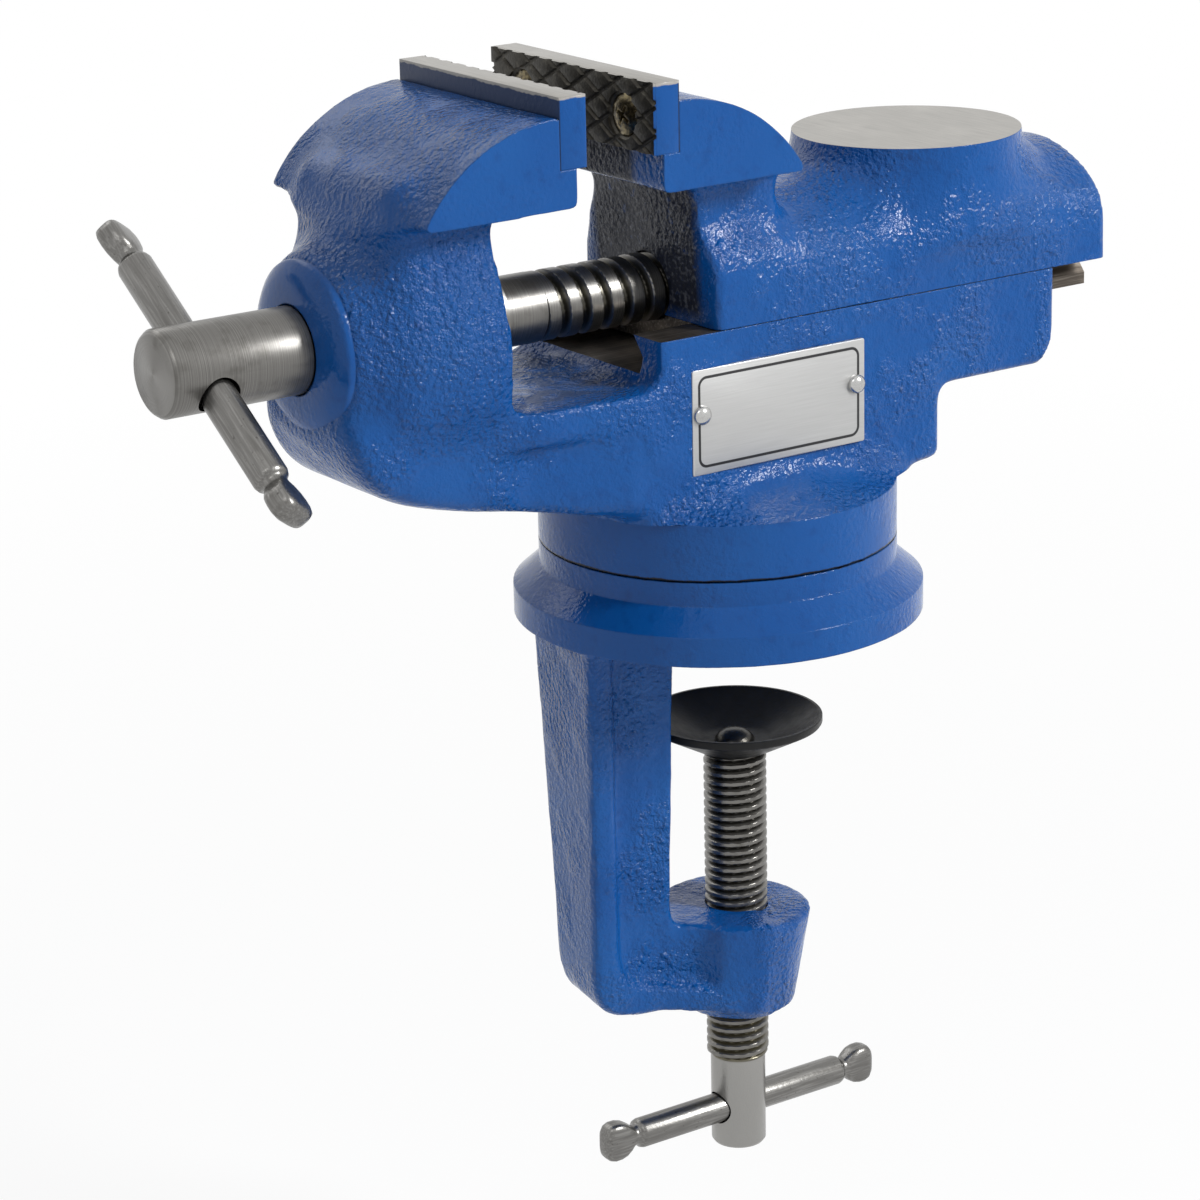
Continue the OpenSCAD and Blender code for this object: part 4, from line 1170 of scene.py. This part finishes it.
# %% A rod with a real thread
THREAD_SIZES = ("Length", "Radius", "Depth", "Lead", "Crest", "Root")
FADE = 0.012
TIP = 0.0001


def thread_tree(name, look):
    """A threaded rod along X from 0 to Length; Crest and Root are shares of half a turn."""
    tree, sizes = new_tree(name, THREAD_SIZES, ("Rows", "Sides"))
    length, radius, depth, lead, crest, root = (Number(tree, sizes.outputs[size]) for size in THREAD_SIZES)
    grid = add_node(tree, "GeometryNodeMeshGrid", {
        "Size X": 1.0, "Size Y": 1.0,
        "Vertices X": sizes.outputs["Rows"], "Vertices Y": sizes.outputs["Sides"]})
    place = parts_of(tree, add_node(tree, "GeometryNodeInputPosition").outputs[0])
    share = place[0] + 0.5
    turn = (place[1] + 0.5) * (2 * math.pi)
    phase = (share * length / lead - turn / (2 * math.pi)).math("FRACT")
    wave = (abs(phase - 0.5) * 2).ramp(root, crest)
    fade = share.ramp(0.0, FADE).at_most(share.ramp(1.0, 1.0 - FADE))
    not_end = share.ramp(0.0, TIP) * share.ramp(1.0, 1.0 - TIP)
    spread = (radius - depth + wave * depth * fade) * not_end * MM
    point = combined(tree, share * length * MM, turn.math("COSINE") * spread, turn.math("SINE") * spread)
    bend = add_node(tree, "GeometryNodeSetPosition", {"Position": point})
    weld = add_node(tree, "GeometryNodeMergeByDistance", {"Distance": 1e-6})
    smooth = add_node(tree, "GeometryNodeSetShadeSmooth")
    finish_tree(tree, (grid, bend, weld, smooth), look)
    return tree


print("threads follow fract(x / lead - angle / turn)")

# %% [markdown]
# The lead screw has a plain head with a cross hole for its bar, a plain length through the
# barrel, and then a coarse thread with soft crests. It turns in the fixed barrel and pulls
# the sliding jaw along.

# %% Lead screw
HEAD_LEN = 27.0
HOLE_IN = 8.9
RUN_IN = 3.0
LEAD_HOLE_R = 3.9
THREAD_ANGLE = 38
head_end_x = screw_low.x
shoulder_x = head_end_x + HEAD_LEN
hole_x = head_end_x + HOLE_IN

lead_screw = turned("lead_screw_piece", [
    (head_end_x, 0), (head_end_x, 6.6), (head_end_x + 0.35, 7.15), (head_end_x + 1.1, 7.7),
    (shoulder_x - 0.3, 7.7), (shoulder_x, 7.4), (shoulder_x, 6.35), (THREAD_START - 0.15, 6.35),
    (THREAD_START, 6.2), (THREAD_START, 0)], (0, 0, screw_z), "x", turned_steel, 128)
thread = from_tree("lead thread", thread_tree("lead thread", turned_steel), {
    "Length": screw_high.x - THREAD_START + RUN_IN, "Radius": 6.3, "Depth": 1.3, "Lead": 4.5,
    "Crest": 0.54, "Root": 0.84, "Rows": 620, "Sides": 97})
thread.data.transform(Matrix.Translation(Vector((THREAD_START - RUN_IN, 0, screw_z)) * MM))
machine(lead_screw, thread, "UNION")
bar_axis = Vector((0, math.cos(BAR_ANGLE), math.sin(BAR_ANGLE)))
bar_side = Vector((0, -math.sin(BAR_ANGLE), math.cos(BAR_ANGLE)))
machine(lead_screw, turned("hole", [(-20, LEAD_HOLE_R), (20, LEAD_HOLE_R)], (hole_x, 0, screw_z),
                           (bar_axis, bar_side), bored, SMALL_ROUND))
crisp(lead_screw, angle=THREAD_ANGLE)

# %% [markdown]
# A handle bar can't fall out because both its ends are swaged: squeezed in a press until
# they bulge one way, with a groove beside them. Each ring of points along the bar has its
# own width and height, so the bulb is flat on two sides.

# %% Handle bars
LEAD_BAR_LENGTH = 70.2
LEAD_BAR_R = 3.2
CLAMP_BAR_LENGTH = 64.5
CLAMP_BAR_R = 2.9
SWAGE = ((0.0, 0.0, 0.40, 0.62, 3.2), (0.04, 0.0, 0.58, 0.95, 3.6), (0.14, 0.0, 0.70, 1.20, 4.0),
         (0.30, 0.0, 0.74, 1.31, 4.4), (0.50, 0.0, 0.75, 1.30, 4.4), (0.70, 0.0, 0.75, 1.18, 4.0),
         (0.86, 0.0, 0.74, 0.96, 3.0), (0.98, 0.0, 0.70, 0.74, 2.2), (1.0, 0.16, 0.70, 0.70, 2.0),
         (1.0, 0.34, 0.74, 0.74, 2.0), (1.0, 0.42, 0.82, 0.82, 2.0), (1.0, 0.50, 0.93, 0.93, 2.0),
         (1.0, 0.72, 1.0, 1.0, 2.0))


def oval_ring(middle, across, other, half_a, half_b, square):
    """A ring of points round a bar; square above 2 makes the ring boxier."""
    ring = []
    for i in range(SMALL_ROUND):
        angle = 2 * math.pi * i / SMALL_ROUND
        c, s = math.cos(angle), math.sin(angle)
        reach = (abs(c) ** square + abs(s) ** square) ** (-1 / square)
        ring.append(middle + across * (c * reach * half_a) + other * (s * reach * half_b))
    return ring


def handle_bar(name, middle, axis, flat, length, radius, look):
    """A round bar with swaged ends; flat is the direction in which the ends are squeezed."""
    other = axis.cross(flat)
    tip = 2.25 * radius
    half = length / 2
    ends = [(half - tips * tip - radii * radius, a, b, q) for tips, radii, a, b, q in SWAGE]
    rows = [(-s, a, b, q) for s, a, b, q in ends] + ends[::-1]
    rings = [oval_ring(middle + axis * s, flat, other, a * radius, b * radius, q) for s, a, b, q in rows]
    bar = rings_to_mesh(name, [[middle - axis * half], *rings, [middle + axis * half]], look)
    crisp(bar, angle=70)
    return bar


bar_low, bar_high = box_mm("lead_screw_bar")
bar_middle = Vector((hole_x, (bar_low.y + bar_high.y) / 2, (bar_low.z + bar_high.z) / 2))
squeeze = (bar_side * 0.77 + Vector((0.64, 0, 0))).normalized()
lead_bar = handle_bar("lead_bar_piece", bar_middle, bar_axis, squeeze,
                      LEAD_BAR_LENGTH, LEAD_BAR_R, upper_drawn)
low_bar_low, low_bar_high = box_mm("clamp_screw_bar")
low_bar_middle = (low_bar_low + low_bar_high) / 2
clamp_bar = handle_bar("clamp_bar_piece", low_bar_middle, *AXES["x"],
                       CLAMP_BAR_LENGTH, CLAMP_BAR_R, lower_drawn)

# %% [markdown]
# The clamp screw has a fine rolled thread, a plain lower end with the cross hole, and a
# domed tip riveted over the floor of its black pressed pad.

# %% Clamp screw
THREAD_TOP = pad_low.z - 0.15
THREAD_END = -92.35
CLAMP_HOLE_R = 3.2

clamp_screw = turned("clamp_screw_piece", [
    (clamp_low.z, 0), (clamp_low.z, 4.3), (clamp_low.z + 0.3, 4.9), (clamp_low.z + 0.9, 5.3),
    (THREAD_END - 0.6, 5.3), (THREAD_END + 0.4, 5.0), (THREAD_TOP - 0.6, 5.0), (THREAD_TOP, 4.6),
    (THREAD_TOP, 3.0), (pad_low.z + 1.5, 3.0), (pad_low.z + 1.55, 3.75), (pad_low.z + 2.0, 3.65),
    (pad_low.z + 2.9, 2.9), (pad_low.z + 3.5, 1.7), (pad_low.z + 3.75, 0)],
    (clamp_axis_x, clamp_axis_y, 0), "z", rolled)
thread = from_tree("clamp thread", thread_tree("clamp thread", rolled), {
    "Length": THREAD_TOP - THREAD_END, "Radius": 6.0, "Depth": 0.85, "Lead": 1.75,
    "Crest": 0.36, "Root": 0.95, "Rows": 560, "Sides": 73})
thread.data.transform(Matrix.Translation(Vector((clamp_axis_x, clamp_axis_y, THREAD_TOP)) * MM)
                      @ Matrix.Rotation(math.pi / 2, 4, "Y"))
machine(clamp_screw, thread, "UNION")
machine(clamp_screw, turned("hole", [(-12, CLAMP_HOLE_R), (12, CLAMP_HOLE_R)],
                            (clamp_axis_x, clamp_axis_y, low_bar_middle.z), "x", bored, SMALL_ROUND))
crisp(clamp_screw, angle=THREAD_ANGLE)

# %% [markdown]
# The pad is a shallow dish of pressed steel with a turned-up rim.

# %% Clamp pad
pad_h = pad_high.z - pad_low.z
pad_r = (pad_high.x - pad_low.x) / 2
clamp_pad = turned("clamp_pad_piece", [
    (0, 3.1), (0, 6.9), (0.25, 7.5), (pad_h - 1.9, pad_r - 0.9), (pad_h - 1.5, pad_r - 0.2),
    (pad_h - 1.2, pad_r), (pad_h - 0.15, pad_r), (pad_h, pad_r - 0.15), (pad_h, pad_r - 0.65),
    (pad_h - 0.25, pad_r - 0.85), (1.9, 7.3), (1.4, 6.2), (1.4, 3.1)],
    (clamp_axis_x, clamp_axis_y, pad_low.z), "z", blacked, 128, loop=True)
crisp(clamp_pad, angle=40)

# %% [markdown]
# The nameplate is thin sheet with rounded corners, held by two domed rivets. The rivets are
# one profile turned about the direction they were driven in.

# %% Nameplate and rivets
CORNER_R = 0.4
corners = []
for sign_x, sign_z, start in ((1, 1, 0), (-1, 1, 90), (-1, -1, 180), (1, -1, 270)):
    for step in range(5):
        angle = math.radians(start + step * 22.5)
        corners.append((badge_middle.x + sign_x * (badge_half.x - CORNER_R) + CORNER_R * math.cos(angle),
                        badge_middle.z + sign_z * (badge_half.z - CORNER_R) + CORNER_R * math.sin(angle)))
nameplate = prism("nameplate_piece", corners, badge_low.y, badge_high.y, "y", name_metal)
crisp(nameplate, PLATE_EDGE)

DOME_R = 1.8
DOME_HEIGHT = 1.15
DOME_RIM = 0.25


def rivet(name, node):
    """A domed rivet that stands on the nameplate and points to the near side."""
    low, high = box_mm(node)
    middle = (low + high) / 2
    rim_y = badge_low.y - DOME_RIM
    dome = [(badge_high.y, 0), (badge_high.y, 0.9), (badge_low.y, 0.9), (badge_low.y, 1.75), (rim_y, DOME_R)]
    for step in range(1, 7):
        angle = math.radians(step * 15)
        dome.append((rim_y - DOME_HEIGHT * math.sin(angle), DOME_R * math.cos(angle)))
    piece = turned(name, dome, (middle.x, 0, middle.z), "y", bright, SMALL_ROUND)
    crisp(piece, angle=50)
    return piece


rivets = {}
for node in ("nameplate_rivet_front", "nameplate_rivet_rear"):
    rivets[node] = rivet(node.removeprefix("nameplate_") + "_piece", node)
print("rivets", len(rivets))

# %% [markdown]
# The pivot bolt with its two washers and the collar with its pin are plain round steel in
# the construction model too, and hardly seen. Those stay as they are and only get metal.

# %% Metal for the construction model's own pieces
KEPT = {"pivot_bolt": plated, "pivot_washer": plated, "pivot_spring_washer": plated,
        "retaining_collar": turned_steel, "collar_pin": turned_steel}
for node, look in KEPT.items():
    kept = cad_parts[node]
    if not kept.material_slots:
        kept.data.materials.append(look.material)
    for place in kept.material_slots:
        place.material = look.material
print("kept", len(KEPT), "pieces of the construction model")

# %% [markdown]
# Each row gives a dressed piece, the body that carries it, the piece of the construction model
# it stands for, and its finish. The piece rides on its body and that piece of the construction
# model is hidden; the finish is not read.

# %% Attach each piece to its body and hide the one it replaces
FITTED = [
    (body_piece, "vise", "vise_body", "blue_casting"),
    (slide_piece, "slide", "sliding_jaw", "blue_casting"),
    (bracket_piece, "bracket", "clamp_bracket", "blue_casting"),
    (front_plate, "vise", "front_jaw_plate", "jaw_steel"),
    (rear_plate, "slide", "rear_jaw_plate", "jaw_steel"),
    *((screw, "vise" if node.startswith("front") else "slide", node, "brassy_screw")
      for node, screw in plate_screws.items()),
    (lead_screw, "lead_screw", "lead_screw", "turned_steel"),
    (lead_bar, "lead_screw_bar", "lead_screw_bar", "bar_steel"),
    (clamp_screw, "clamp_screw", "clamp_screw", "dark_steel"),
    (clamp_bar, "clamp_screw_bar", "clamp_screw_bar", "bar_steel"),
    (clamp_pad, "clamp_pad", "clamp_pad", "black_pad"),
    (nameplate, "vise", "nameplate", "nameplate_metal"),
    *((piece, "vise", node, "rivet_metal") for node, piece in rivets.items())]
for piece, carrier, node, finish in FITTED:
    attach(piece, carrier)
    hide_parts(node)
print("fitted", len(FITTED), "pieces")
